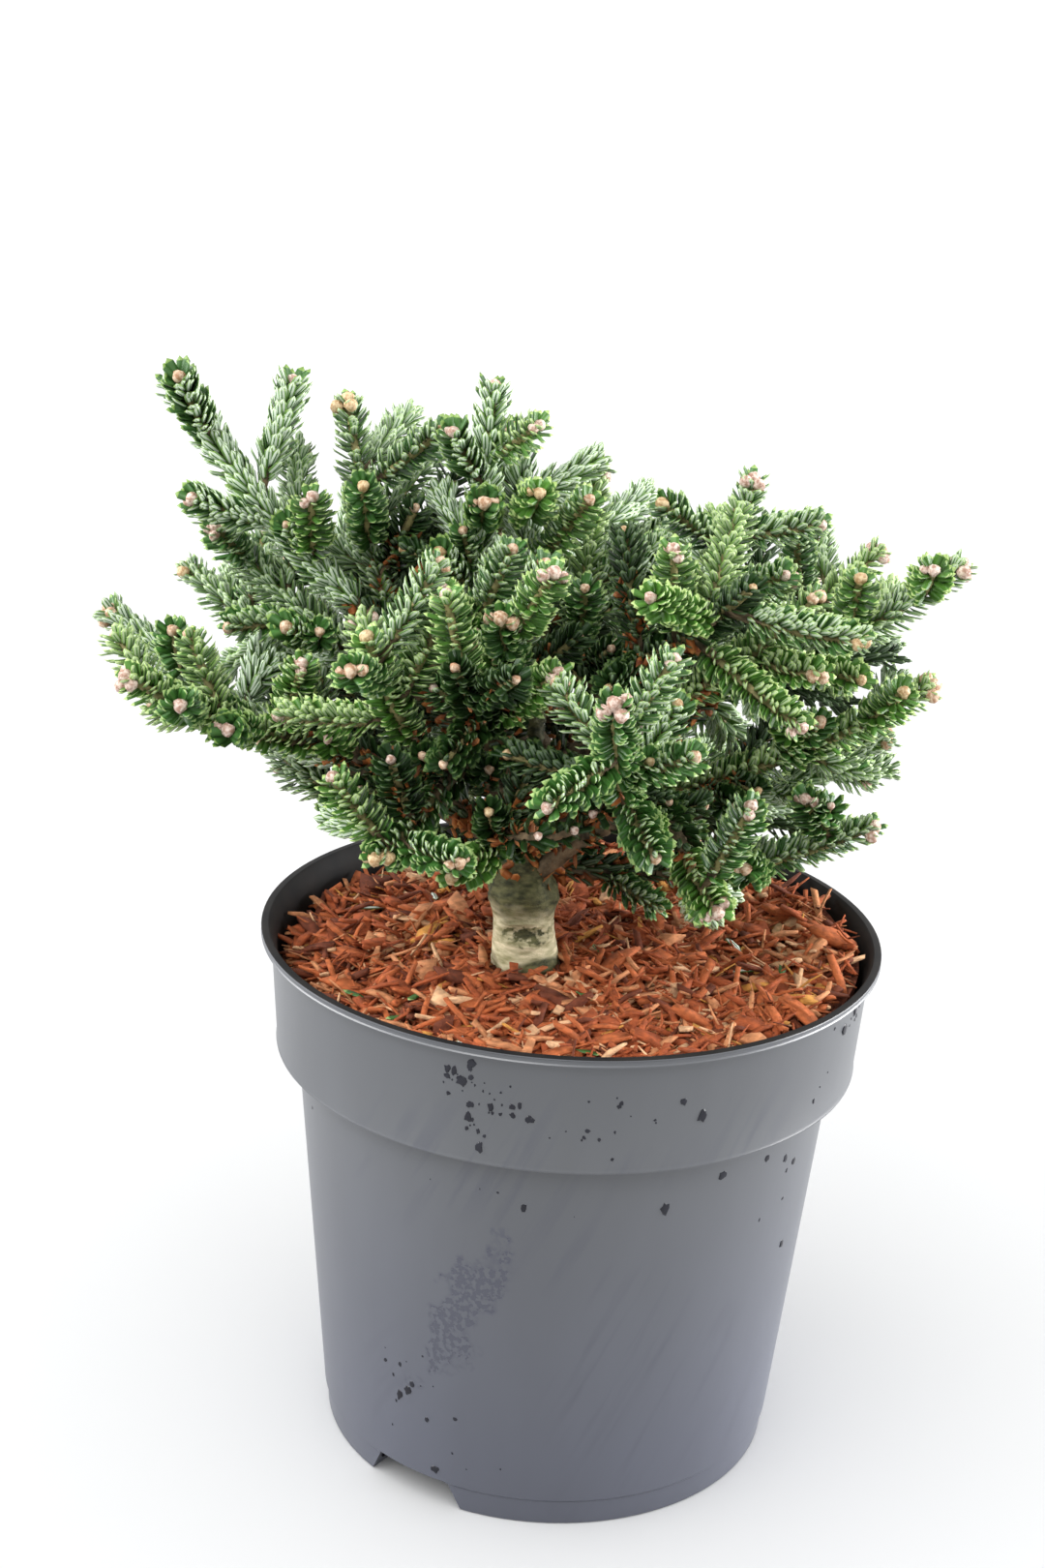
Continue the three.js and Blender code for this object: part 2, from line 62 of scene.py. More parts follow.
# ------------------------------------------------------------------------------------------
# Pot: a round nursery pot of black recycled polypropylene, injection moulded. Its wall rises
# from a stepped foot to a wide collar with a rolled lip; two drain notches cut its foot.
MM = 0.001
LIP_RADIUS, _, RIM_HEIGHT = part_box("pot")[1]
FOOT_RADIUS = 64.9 * MM
FOOT_RING = 8.4 * MM
BODY_TOP_RADIUS = 76 * MM
COLLAR_FOOT = 118.1 * MM
COLLAR_RADII = (82 * MM, 84 * MM)
LIP_UNDERSIDE = 149.3 * MM
WALL = 1.5 * MM
FLOOR = 2.6 * MM
POT_SECTORS = 144
NOTCH_AZIMUTHS = (-123.2, 56.8)
NOTCH_WIDTHS = (32.1 * MM, 23 * MM)
NOTCH_HEIGHT = 8.6 * MM
NOTCH_DEPTH = 14 * MM
NOTCH_CLEARANCE = 0.6 * MM
WALL_GREYS = ((0.053, 0.0565, 0.063), (0.073, 0.0775, 0.087))
WALL_BLUES = ((0.0485, 0.053, 0.0725), (0.067, 0.073, 0.1))
WET_COLOUR = (0.034, 0.037, 0.056, 1)
RUN_SLANT = math.radians(24)
SPATTER_PLACE = (-22 * MM, -68 * MM, 69 * MM)
SPATTER_SIZE = (9 * MM, 40 * MM, 30 * MM)
DROP_PLENTY = 1.6
DROP_SIDES = 10
LOWEST_DROP = 12 * MM
# Groups of drops: azimuth in degrees and height in millimetres, how far each spreads, how many.
DROP_GROUPS = (
    (-107, 142, 2.6, 2.6, 15),
    (-105, 130, 1.8, 3.5, 8),
    (-99, 136, 2, 3, 9),
    (-86, 133, 4, 6, 7),
    (-70, 137, 8, 5, 5),
    (-24, 145, 3, 2, 9),
    (-36, 112, 8, 14, 12),
    (-95, 108, 14, 6, 7),
    (-118, 30, 8, 13, 12),
    (150, 120, 25, 20, 10),
    (40, 110, 30, 25, 10),
)


def placed(name, data):
    """An object at the origin, in the scene."""
    made = bpy.data.objects.new(name, data)
    bpy.context.scene.collection.objects.link(made)
    return made


def mesh_of(name, bm):
    """The mesh that a bmesh holds."""
    mesh = bpy.data.meshes.new(name)
    bm.to_mesh(mesh)
    bm.free()
    return mesh


def dressed(name, mesh, slot, *materials, smooth=None, replaces=()):
    """A finished mesh as a piece on the one body, shaded smooth below an angle in degrees."""
    piece = placed(name, mesh)
    for material in materials:
        mesh.materials.append(material)
    if smooth:
        mesh.shade_smooth()
        mesh.set_sharp_from_angle(angle=math.radians(smooth))
    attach(piece, "root")
    if replaces:
        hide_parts(*replaces)


def new_material(name, roughness, gloss):
    """A material, its node tree and its Principled shader."""
    material = bpy.data.materials.new(name)
    material.use_nodes = True
    shader = material.node_tree.nodes["Principled BSDF"]
    shader.inputs["Roughness"].default_value = roughness
    shader.inputs["Specular IOR Level"].default_value = gloss
    return material, material.node_tree, shader


def feed(tree, socket, value):
    """A socket linked to another one, or given a value."""
    if isinstance(value, bpy.types.NodeSocket):
        tree.links.new(value, socket)
    else:
        socket.default_value = value


def add_node(tree, kind, *inputs, **settings):
    """A node with its first inputs in order, and other sockets and properties by name."""
    made = tree.nodes.new("ShaderNode" + kind)
    for name, value in settings.items():
        if name in made.inputs:
            feed(tree, made.inputs[name], value)
        else:
            setattr(made, name, value)
    for socket, value in zip(made.inputs, inputs):
        feed(tree, socket, value)
    return made


def computed(tree, operation, *values, clamp=False):
    """The result of one step of arithmetic."""
    return add_node(tree, "Math", *values, operation=operation, use_clamp=clamp).outputs[0]


def own_place(tree):
    """The place in the piece's own space."""
    return add_node(tree, "TexCoord").outputs["Object"]


def noise_at(tree, place, scale, detail):
    """Soft noise between 0 and 1."""
    return add_node(tree, "TexNoise", Vector=place, Scale=scale, Detail=detail).outputs["Fac"]


def graded(tree, value, low, high, to_low=0.0, to_high=1.0):
    """A value mapped from one range to another, and kept within it."""
    return add_node(tree, "MapRange", value, low, high, to_low, to_high).outputs[0]


def blended(tree, mask, first, second):
    """Two colours or colour sockets mixed by a mask."""
    mix = add_node(tree, "Mix", mask, data_type="RGBA")
    feed(tree, mix.inputs[6], first)
    feed(tree, mix.inputs[7], second)
    return mix.outputs[2]


def distance_in(tree, place, centre, reach, slant=0.0):
    """How far a place lies from a centre, where 1 is the edge of an ellipsoid of that reach."""
    inside = add_node(
        tree, "Mapping", place, centre, (0, slant, 0), reach, vector_type="TEXTURE",
    )
    length = add_node(tree, "VectorMath", inside.outputs[0], operation="LENGTH")
    return length.outputs["Value"]


def mottle_group():
    """Two colours mixed by soft noise in the piece's own space, with a finer noise as height."""
    tree = bpy.data.node_groups.new("mottle", "ShaderNodeTree")
    sockets = (
        ("First", "INPUT", "Color"),
        ("Second", "INPUT", "Color"),
        ("Size", "INPUT", "Float"),
        ("Sharpness", "INPUT", "Float"),
        ("Vector", "INPUT", "Vector"),
        ("Color", "OUTPUT", "Color"),
        ("Height", "OUTPUT", "Float"),
    )
    for name, way, kind in sockets:
        tree.interface.new_socket(name, in_out=way, socket_type="NodeSocket" + kind)
    given = tree.nodes.new("NodeGroupInput").outputs
    result = tree.nodes.new("NodeGroupOutput").inputs
    scale = computed(tree, "DIVIDE", 1, given["Size"])
    centred = computed(tree, "SUBTRACT", noise_at(tree, given["Vector"], scale, 4), 0.5)
    mask = computed(tree, "MULTIPLY_ADD", centred, given["Sharpness"], 0.5, clamp=True)
    tree.links.new(blended(tree, mask, given["First"], given["Second"]), result["Color"])
    fine_scale = computed(tree, "MULTIPLY", scale, 5)
    tree.links.new(noise_at(tree, given["Vector"], fine_scale, 6), result["Height"])
    return tree


mottle = mottle_group()


def mottled(tree, first, second, size, sharpness, stretch=(1, 1, 1)):
    """The mottle's colour and height: linear colours, size in metres, stretch along each axis."""
    made = tree.nodes.new("ShaderNodeGroup")
    made.node_tree = mottle
    place = add_node(tree, "Mapping", own_place(tree), Scale=stretch).outputs[0]
    values = ((*first, 1), (*second, 1), size, sharpness, place)
    for socket, value in zip(made.inputs, values):
        feed(tree, socket, value)
    return made.outputs["Color"], made.outputs["Height"]


def relief(tree, shader, height, strength, depth):
    """A bump of that depth in metres under a material's shader."""
    bump = add_node(tree, "Bump", Height=height, Strength=strength, Distance=depth)
    tree.links.new(bump.outputs[0], shader.inputs["Normal"])


def patchy(name, roughness, gloss, first, second, size, sharpness, bump=None, stretch=(1, 1, 1)):
    """A finish of two colours in soft patches; bump is its relief's strength and depth."""
    material, tree, shader = new_material(name, roughness, gloss)
    colour, height = mottled(tree, first, second, size, sharpness, stretch)
    tree.links.new(colour, shader.inputs["Base Color"])
    if bump:
        relief(tree, shader, height, *bump)
    return material


def pot_plastic():
    """Dark plastic with a satin sheen: faint slanting run marks and a patch of dried spatter."""
    material, tree, shader = new_material("pot_black_plastic", 0.36, 0.85)
    place = own_place(tree)
    grey, height = mottled(tree, *WALL_GREYS, 0.05, 2, (1, 1, 0.35))
    blue, _ = mottled(tree, *WALL_BLUES, 0.05, 2, (1, 1, 0.35))
    level = add_node(tree, "SeparateXYZ", place).outputs["Z"]
    wall = blended(tree, graded(tree, level, 0.2 * COLLAR_FOOT, COLLAR_FOOT, 1, 0), grey, blue)
    slanted = add_node(tree, "Mapping", place, Rotation=(0, -RUN_SLANT, 0)).outputs[0]
    drawn_out = add_node(tree, "Mapping", slanted, Scale=(340, 60, 22)).outputs[0]
    runs = graded(tree, noise_at(tree, drawn_out, 1, 4), 0.5, 0.66)
    run_patches = graded(tree, noise_at(tree, place, 17, 2), 0.5, 0.66, 0, 0.42)
    reach = distance_in(tree, place, SPATTER_PLACE, SPATTER_SIZE, RUN_SLANT)
    ragged = graded(tree, noise_at(tree, place, 95, 3), 0.3, 0.7, -0.55, 0.55)
    spattered = graded(tree, computed(tree, "ADD", reach, ragged), 0.75, 0.95, 1, 0)
    specks = graded(tree, noise_at(tree, place, 680, 2), 0.42, 0.52)
    wet = computed(
        tree, "MAXIMUM", computed(tree, "MULTIPLY", runs, run_patches),
        computed(tree, "MULTIPLY", spattered, specks),
    )
    tree.links.new(blended(tree, wet, wall, WET_COLOUR), shader.inputs["Base Color"])
    tree.links.new(graded(tree, wet, 0, 1, 0.38, 0.27), shader.inputs["Roughness"])
    relief(tree, shader, height, 0.12, 0.4 * MM)
    return material


def arc(centre, radius, start, end, count=3):
    """Points of a round edge in reach and height, between two angles in degrees."""
    angles = [math.radians(start + (end - start) * i / count) for i in range(count + 1)]
    return [
        (centre[0] + radius * math.cos(angle), centre[1] + radius * math.sin(angle))
        for angle in angles
    ]


def pot_profile():
    """The wall's outline in reach and height, from the axis round the lip to the axis inside."""
    edge = 0.8 * MM
    return [
        (0, 0),
        *arc((FOOT_RADIUS - edge, edge), edge, -90, 0),
        (FOOT_RADIUS + 0.5 * MM, FOOT_RING - edge),
        (FOOT_RADIUS + 1.2 * MM, FOOT_RING),
        (FOOT_RADIUS + 5.4 * MM, 0.46 * COLLAR_FOOT),
        (BODY_TOP_RADIUS, COLLAR_FOOT - 1.4 * MM),
        (BODY_TOP_RADIUS + MM, COLLAR_FOOT - 0.2 * MM),
        (COLLAR_RADII[0] - 0.3 * MM, COLLAR_FOOT),
        (COLLAR_RADII[0] + 0.2 * MM, COLLAR_FOOT + 0.3 * MM),
        (COLLAR_RADII[0] + 0.25 * MM, COLLAR_FOOT + 0.7 * MM),
        (COLLAR_RADII[0], COLLAR_FOOT + 1.5 * MM),
        (COLLAR_RADII[1], LIP_UNDERSIDE - 0.8 * MM),
        (COLLAR_RADII[1] + 0.5 * MM, LIP_UNDERSIDE + 0.5 * MM),
        (LIP_RADIUS - 0.8 * MM, LIP_UNDERSIDE + 1.1 * MM),
        *arc((LIP_RADIUS - 0.25 * MM, LIP_UNDERSIDE + 1.5 * MM), 0.25 * MM, -90, 60),
        (LIP_RADIUS - 0.3 * MM, LIP_UNDERSIDE + 1.9 * MM),
        (LIP_RADIUS - 0.3 * MM, RIM_HEIGHT - 0.7 * MM),
        *arc((LIP_RADIUS - 0.3 * MM, RIM_HEIGHT - 0.35 * MM), 0.3 * MM, -60, 90),
        (LIP_RADIUS - 2 * MM, RIM_HEIGHT),
        (LIP_RADIUS - 2.5 * MM, RIM_HEIGHT - 0.5 * MM),
        (COLLAR_RADII[1] - WALL, LIP_UNDERSIDE - 1.6 * MM),
        (COLLAR_RADII[0] - WALL, COLLAR_FOOT + 1.8 * MM),
        (BODY_TOP_RADIUS - WALL, COLLAR_FOOT - 1.4 * MM),
        (FOOT_RADIUS - WALL, FLOOR + 2 * MM),
        (FOOT_RADIUS - WALL - 1.6 * MM, FLOOR),
        (0, FLOOR),
    ]


def wall_radius(height):
    """The outer radius of the wall, below the collar and on it."""
    share = (height - COLLAR_FOOT) / (LIP_UNDERSIDE - COLLAR_FOOT)
    if share >= 0:
        return COLLAR_RADII[0] + share * (COLLAR_RADII[1] - COLLAR_RADII[0])
    share = (height - FOOT_RING) / (COLLAR_FOOT - FOOT_RING)
    return FOOT_RADIUS + 1.2 * MM + share * (BODY_TOP_RADIUS - FOOT_RADIUS - 1.2 * MM)


def spun(profile, sectors):
    """A solid turned from its outline round the pot's axis."""
    bm = bmesh.new()
    verts = [bm.verts.new((reach, 0, height)) for reach, height in profile]
    for first, second in zip(verts, verts[1:]):
        bm.edges.new((first, second))
    bmesh.ops.spin(
        bm, geom=bm.verts[:] + bm.edges[:], axis=(0, 0, 1), cent=(0, 0, 0), angle=2 * math.pi,
        steps=sectors, use_merge=True, use_normal_flip=False, use_duplicate=False,
        dvec=(0, 0, 0),
    )
    bmesh.ops.remove_doubles(bm, verts=bm.verts, dist=1e-6)
    bmesh.ops.recalc_face_normals(bm, faces=bm.faces)
    return bm


def notch_block(azimuth):
    """The wedge that a drain notch takes out of the foot."""
    bm = bmesh.new()
    bmesh.ops.create_cube(bm, size=1)
    for vert in bm.verts:
        vert.co.y *= NOTCH_WIDTHS[1] if vert.co.z > 0 else NOTCH_WIDTHS[0]
        vert.co.x = FOOT_RADIUS - NOTCH_DEPTH if vert.co.x < 0 else LIP_RADIUS
        vert.co.z = NOTCH_HEIGHT if vert.co.z > 0 else -NOTCH_CLEARANCE
    turn = Matrix.Rotation(math.radians(azimuth), 3, "Z")
    bmesh.ops.rotate(bm, verts=bm.verts, cent=(0, 0, 0), matrix=turn)
    return bm


def with_notches(shell):
    """The shell with both notches cut through, and its foot open to a pocket behind each."""
    body = placed("pot_shell", mesh_of("pot_shell", shell))
    blocks = [placed("notch", mesh_of("notch", notch_block(turn))) for turn in NOTCH_AZIMUTHS]
    for block in blocks:
        cut = body.modifiers.new("notch", "BOOLEAN")
        cut.operation = "DIFFERENCE"
        cut.object = block
    bpy.context.view_layer.update()
    made = bmesh.new()
    made.from_mesh(body.evaluated_get(bpy.context.evaluated_depsgraph_get()).to_mesh())
    for spent in (body, *blocks):
        bpy.data.objects.remove(spent)
    return made


def with_painted_shade_inside(shell):
    """The shell with its inner faces and the top of its lip given the second material, whose
    near-black is painted shade.
    """
    shell.normal_update()
    for face in shell.faces:
        centre, normal = face.calc_center_median(), face.normal
        outwards = normal.x * centre.x + normal.y * centre.y
        inside = outwards < -0.3 * math.hypot(centre.x, centre.y) and centre.z > NOTCH_HEIGHT
        lip_top = normal.z > 0.6 and centre.z > RIM_HEIGHT - 0.6 * MM
        face.material_index = 1 if lip_top or inside else 0
    return shell


def outward(shape, faces):
    """The faces, turned round where the shape would be inside out."""
    points = shape - shape.mean(0)
    volume = sum(
        np.dot(points[face[0]], np.cross(points[face[i]], points[face[i + 1]]))
        for face in faces
        for i in range(1, len(face) - 1)
    )
    return faces if volume > 0 else [face[::-1] for face in faces]


def joined(name, shapes, faces, finishes=0):
    """One mesh of many like shapes: their vertices, the faces and finishes of one or of each."""
    faces = outward(shapes[0], faces)
    count, size = shapes.shape[:2]
    loops = np.concatenate([np.array(face) for face in faces])
    lengths = np.array([len(face) for face in faces])
    steps = np.arange(count)[:, None]
    starts = np.cumsum(lengths) - lengths + steps * len(loops)
    dealt = np.broadcast_to(np.asarray(finishes), (count, len(faces)))
    mesh = bpy.data.meshes.new(name)
    mesh.vertices.add(count * size)
    mesh.vertices.foreach_set("co", shapes.reshape(-1).astype(np.float32))
    mesh.loops.add(count * len(loops))
    corners = (loops + steps * size).reshape(-1)
    mesh.loops.foreach_set("vertex_index", corners.astype(np.int32))
    mesh.polygons.add(count * len(faces))
    mesh.polygons.foreach_set("loop_start", starts.reshape(-1).astype(np.int32))
    mesh.polygons.foreach_set("material_index", dealt.reshape(-1).astype(np.int32))
    mesh.update(calc_edges=True)
    return mesh


def water_drops():
    """Shallow beads of water on the collar and wall, in loose groups, drawn out downwards."""
    drops = np.random.default_rng(77)
    shapes = []
    for azimuth, height, wide, tall, count in DROP_GROUPS:
        for _ in range(int(DROP_PLENTY * count)):
            z = (height + tall * drops.normal()) * MM
            z = min(max(z, LOWEST_DROP), LIP_UNDERSIDE - 2 * MM)
            if abs(z - COLLAR_FOOT) < 3 * MM:
                continue
            turn = math.radians(azimuth + wide * drops.normal())
            out = np.array([math.cos(turn), math.sin(turn), 0])
            side = np.array([-out[1], out[0], 0])
            size = (0.28 + 1.25 * drops.random() ** 3) * MM
            stretch = 1 + 0.9 * drops.random() ** 2
            centre = out * wall_radius(z) + np.array([0, 0, z])
            outline = 2 * math.pi * np.arange(DROP_SIDES) / DROP_SIDES
            uneven = 0.7 + 0.6 * drops.random(DROP_SIDES)
            flat = np.outer(np.cos(outline) * uneven, side)
            flat = flat + np.outer(np.sin(outline) * uneven * stretch, [0, 0, 1])
            shapes.append(np.concatenate([
                centre - out * 0.15 * MM + flat * size,
                centre + out * 0.22 * size + flat * size * 0.72,
                [centre + out * 0.34 * size],
            ]))
    return np.array(shapes)


def drop_faces():
    """The faces of a bead: its foot, its slopes and its low crown."""
    faces = [tuple(range(DROP_SIDES))]
    for i in range(DROP_SIDES):
        j = (i + 1) % DROP_SIDES
        faces.append((2 * DROP_SIDES, DROP_SIDES + i, DROP_SIDES + j))
        faces.append((i, DROP_SIDES + i, DROP_SIDES + j, j))
    return faces


pot_plastic_and_painted_shade = (
    pot_plastic(),
    # The second material is painted shade: the same plastic made near-black inside the wall and on
    # the lip's top.
    patchy("pot_inside_painted_shade", 0.6, 0.12, (0.008, 0.008, 0.009), (0.018, 0.016, 0.015), 0.012, 2.5),
)
pot_mesh = mesh_of("nursery_pot", with_painted_shade_inside(with_notches(spun(pot_profile(), POT_SECTORS))))
dressed("nursery_pot", pot_mesh, "pot", *pot_plastic_and_painted_shade, smooth=24, replaces=["pot"])
bead = patchy("water_bead", 0.08, 0.22, (0.01, 0.01, 0.014), (0.022, 0.023, 0.03), 0.01, 2)
dressed("water_drops", joined("water_drops", water_drops(), drop_faces()), "pot", bead, smooth=60)

# ------------------------------------------------------------------------------------------
# Mulch: shredded red-brown bark over the growing medium, mounded a little towards the trunk.
# A rough bed lies under some five thousand loose chips and fibres, dealt out in six colours.
# The bed's dark bark is darkened further as painted shade in the gaps between the chips.
MULCH_EDGE = 141.6 * MM
MULCH_MOUND = 3.4 * MM
MULCH_RADIUS = 81 * MM
BED_DEPTH = 22 * MM
BED_SECTORS = 120
BED_RINGS = 40
BANK_START = 45 * MM
BANK_HEIGHT = 8.5 * MM
BANK_AZIMUTH = math.radians(12)
TRUNK_FOOT = np.array([-12, -13, 143.5]) * MM
TRUNK_CLEARANCE = 13 * MM
CHIP_LIMIT = 80.5 * MM
CHIP_COLOURS = (
    # name, linear colour, share
    ("rust", (0.48, 0.124, 0.038), 0.33),
    ("russet", (0.37, 0.083, 0.025), 0.28),
    ("umber", (0.165, 0.04, 0.016), 0.14),
    ("tan", (0.59, 0.245, 0.107), 0.15),
    ("straw", (0.62, 0.28, 0.058), 0.03),
    ("blond", (0.74, 0.43, 0.235), 0.07),
)
CHIPS = 5400
FLAKES = CHIPS // 16
FIBRES = CHIPS // 2
CHIP_CUTS = (
    # how many; their lengths, widths and thicknesses in millimetres; the steepest tilt
    (FLAKES, (6, 15), (3, 6.5), (0.9, 2.1), 0.5),
    (CHIPS - FLAKES - FIBRES, (4, 15), (0.8, 2.6), (0.6, 1.4), 0.55),
    (FIBRES, (3, 12), (0.3, 0.8), (0.3, 0.5), 0.7),
)
scatter = np.random.default_rng(4127)


def mulch_level(x, y):
    """The height of the mulch at a place: mounded, and banked against the wall on one side."""
    reach = np.hypot(x, y)
    bank = np.clip((reach - BANK_START) / (MULCH_RADIUS - BANK_START), 0, 1) ** 1.5
    side = np.clip(0.3 + 0.7 * np.cos(np.arctan2(y, x) - BANK_AZIMUTH), 0, 1)
    mound = MULCH_MOUND * (1 - (reach / MULCH_RADIUS) ** 2)
    return MULCH_EDGE + mound + BANK_HEIGHT * bank * side


def rough(point, size, depth):
    """Soft relief at a place: noise of that grain and depth."""
    return depth * noise.fractal(Vector(point) / size, 1.0, 2.0, 4)


def bark_finish(name, first, second, size, roughness, depth, stretch=(1, 1, 1)):
    """A dry woody surface: two colours in patches, with a grain that stands up a little."""
    return patchy(name, roughness, 0.25, first, second, size, 3.2, (0.7, depth), stretch)


def mulch_bed():
    """The bed under the chips: closed, with a broken surface."""
    profile = [(MULCH_RADIUS * i / BED_RINGS, MULCH_EDGE) for i in range(BED_RINGS + 1)]
    profile += [(MULCH_RADIUS - 3 * MM, MULCH_EDGE - BED_DEPTH), (0, MULCH_EDGE - BED_DEPTH)]
    bm = spun(profile, BED_SECTORS)
    for vert in bm.verts:
        x, y, z = vert.co
        if z > MULCH_EDGE - 4 * MM:
            vert.co.z = mulch_level(x, y) - 1.4 * MM + rough(vert.co, 5 * MM, 1.5 * MM)
    return mesh_of("mulch_bed", bm)


def tube_faces(rings, sides):
    """The faces of a tube of rings of vertices, closed flat at both ends."""
    faces = [tuple(range(sides - 1, -1, -1))]
    for low in range(0, (rings - 1) * sides, sides):
        for i in range(sides):
            j = (i + 1) % sides
            faces.append((low + i, low + j, low + sides + j, low + sides + i))
    return faces + [tuple(range((rings - 1) * sides, rings * sides))]


def level_ways(numbers, count):
    """Unit vectors in the ground plane, turned at random."""
    turns = numbers.random(count) * 2 * math.pi
    return np.stack([np.cos(turns), np.sin(turns), np.zeros(count)], -1)


def unit_rows(rows):
    return rows / np.linalg.norm(rows, axis=-1, keepdims=True)


def chip_shapes(count, *spans, tilt):
    """Splinters of bark: four rings of four corners, wider in the middle, lightly bent."""
    lengths, widths, thicknesses = (scatter.uniform(*span, count) * MM for span in spans)
    reach = MULCH_RADIUS * 0.965 * np.sqrt(scatter.random(count))
    centre = level_ways(scatter, count) * reach[:, None]
    to_trunk = centre[:, :2] - TRUNK_FOOT[:2]
    near = np.linalg.norm(to_trunk, axis=1)
    pushed = np.maximum(0, TRUNK_CLEARANCE - near) / np.maximum(near, MM)
    centre[:, :2] += to_trunk * pushed[:, None]
    room = np.maximum(0, CHIP_LIMIT - np.linalg.norm(centre[:, :2], axis=1))
    way = level_ways(scatter, count)
    rise = np.tan(tilt * (scatter.random(count) - 0.5) * 2)
    lengths = np.minimum(lengths, 2 * room + 6 * MM)
    up = np.array([0, 0, 1.0])
    way = unit_rows(way + up * rise[:, None])
    side = unit_rows(np.cross(up, way))
    face = np.cross(way, side)
    roll = 0.5 * (scatter.random(count) - 0.5)[:, None]
    cos, sin = np.cos(roll), np.sin(roll)
    side, face = side * cos + face * sin, face * cos - side * sin
    lift = np.abs(way[:, 2]) * lengths * 0.35 + (0.2 + 2.0 * scatter.random(count)) * MM
    centre[:, 2] = mulch_level(centre[:, 0], centre[:, 1]) + lift - 0.6 * MM
    shapes = np.empty((count, 16, 3))
    ends = 0.45 + 0.55 * scatter.random((2, count)) ** 0.6
    cuts = 1.6 * (scatter.random((2, count)) - 0.5)
    rings = ((ends[0], cuts[0], 0.6), (1.0, 0.0, 1), (0.97, 0.0, 1), (ends[1], cuts[1], 0.6))
    for ring, (swell, slant, flat) in enumerate(rings):
        along_chip = (ring / 3 - 0.5) * lengths
        bend = (0.08 * (scatter.random(count) - 0.3) * lengths) * (1 - (2 * ring / 3 - 1) ** 2)
        spine = centre + way * along_chip[:, None] + face * bend[:, None]
        half = 0.5 * widths * swell * (0.85 + 0.3 * scatter.random(count))
        thick = 0.5 * thicknesses * (0.7 + 0.6 * scatter.random(count)) * flat
        for corner, (a, b) in enumerate(((-1, -1), (1, -1), (1, 1), (-1, 1))):
            edge = spine + side * (a * half)[:, None] + way * (a * half * slant)[:, None]
            shapes[:, 4 * ring + corner] = edge + face * (b * thick)[:, None]
    return shapes


def mulch_chips():
    """Flakes, splinters and fibres, each in one of the six colours."""
    shapes = np.concatenate([chip_shapes(*cut[:4], tilt=cut[4]) for cut in CHIP_CUTS])
    shares = [share for _, _, share in CHIP_COLOURS]
    colours = scatter.choice(len(CHIP_COLOURS), size=len(shapes), p=shares)
    return joined("mulch_chips", shapes, tube_faces(4, 4), colours[:, None])


def chip_finish(name, colour, _):
    darker = tuple(0.55 * part for part in colour)
    return bark_finish("chip_" + name, darker, colour, 2.2 * MM, 0.75, 0.5 * MM, (1, 1, 2.5))


# Dark bark, darker still as painted shade in the gaps between the chips.
bed_bark_and_shade = bark_finish(
    "mulch_bed_bark_and_painted_shade", (0.05, 0.015, 0.009), (0.22, 0.06, 0.028), 2.5 * MM, 0.9, MM,
)
dressed("mulch_bed", mulch_bed(), "mulch", bed_bark_and_shade, smooth=40, replaces=["mulch"])
dressed("mulch_chips", mulch_chips(), "mulch", *[chip_finish(*row) for row in CHIP_COLOURS])

# ------------------------------------------------------------------------------------------
# Trunk: a short leaning stem of smooth grey-olive bark, flared where it leaves the mulch, with
# a healed scar in front and a rough collar under the lowest boughs. Cut flat at the mulch.
TRUNK_WAIST = np.array([-17.5, 2.8, 192.4]) * MM
TRUNK_TIP = np.array([-14, 2, 243]) * MM
TRUNK_LINE = (TRUNK_FOOT, TRUNK_WAIST, TRUNK_TIP)
TRUNK_RADIUS = 8.6 * MM
TRUNK_TIP_RADIUS = 3 * MM
ROOT_FLARE = 1.4 * MM
BELOW_THE_CUT = -0.08
TRUNK_STEPS = 120
TRUNK_SIDES = 64
SCAR = np.array([-12.5, -23, 156.2]) * MM
SCAR_REACH = np.array([6.2, 14, 2.3]) * MM
WET_FOOT = np.array([-7, -23, 147.5]) * MM
WET_REACH = np.array([7, 14, 3]) * MM
COLLAR_HEIGHT = 163 * MM


def distance(start, end):
    return math.sqrt((end - start) @ (end - start))


def unit(vector):
    return vector / math.sqrt(vector @ vector)


def along(line, t):
    """A limb's centre line is one arc through three points."""
    a, b, c = line
    return a * ((1 - t) * (1 - t)) + b * (2 * t * (1 - t)) + c * (t * t)


def heading(line, t):
    a, b, c = line
    return unit((b - a) * (1 - t) + (c - b) * t)


def across(direction, like=None):
    """Two directions square to a heading."""
    like = direction if like is None else like
    upright = np.array([0.0, 0.0, 1.0]) if abs(like[2]) < 0.9 else np.array([1.0, 0.0, 0.0])
    side = unit(np.cross(direction, upright))
    return side, np.cross(direction, side)


def turned(direction, angle):
    """The direction square to a heading that an angle round it gives."""
    side, other = across(direction)
    return side * math.cos(angle) + other * math.sin(angle)


def trunk_radius(t):
    return TRUNK_RADIUS + (TRUNK_TIP_RADIUS - TRUNK_RADIUS) * t + ROOT_FLARE * math.exp(-8 * t)


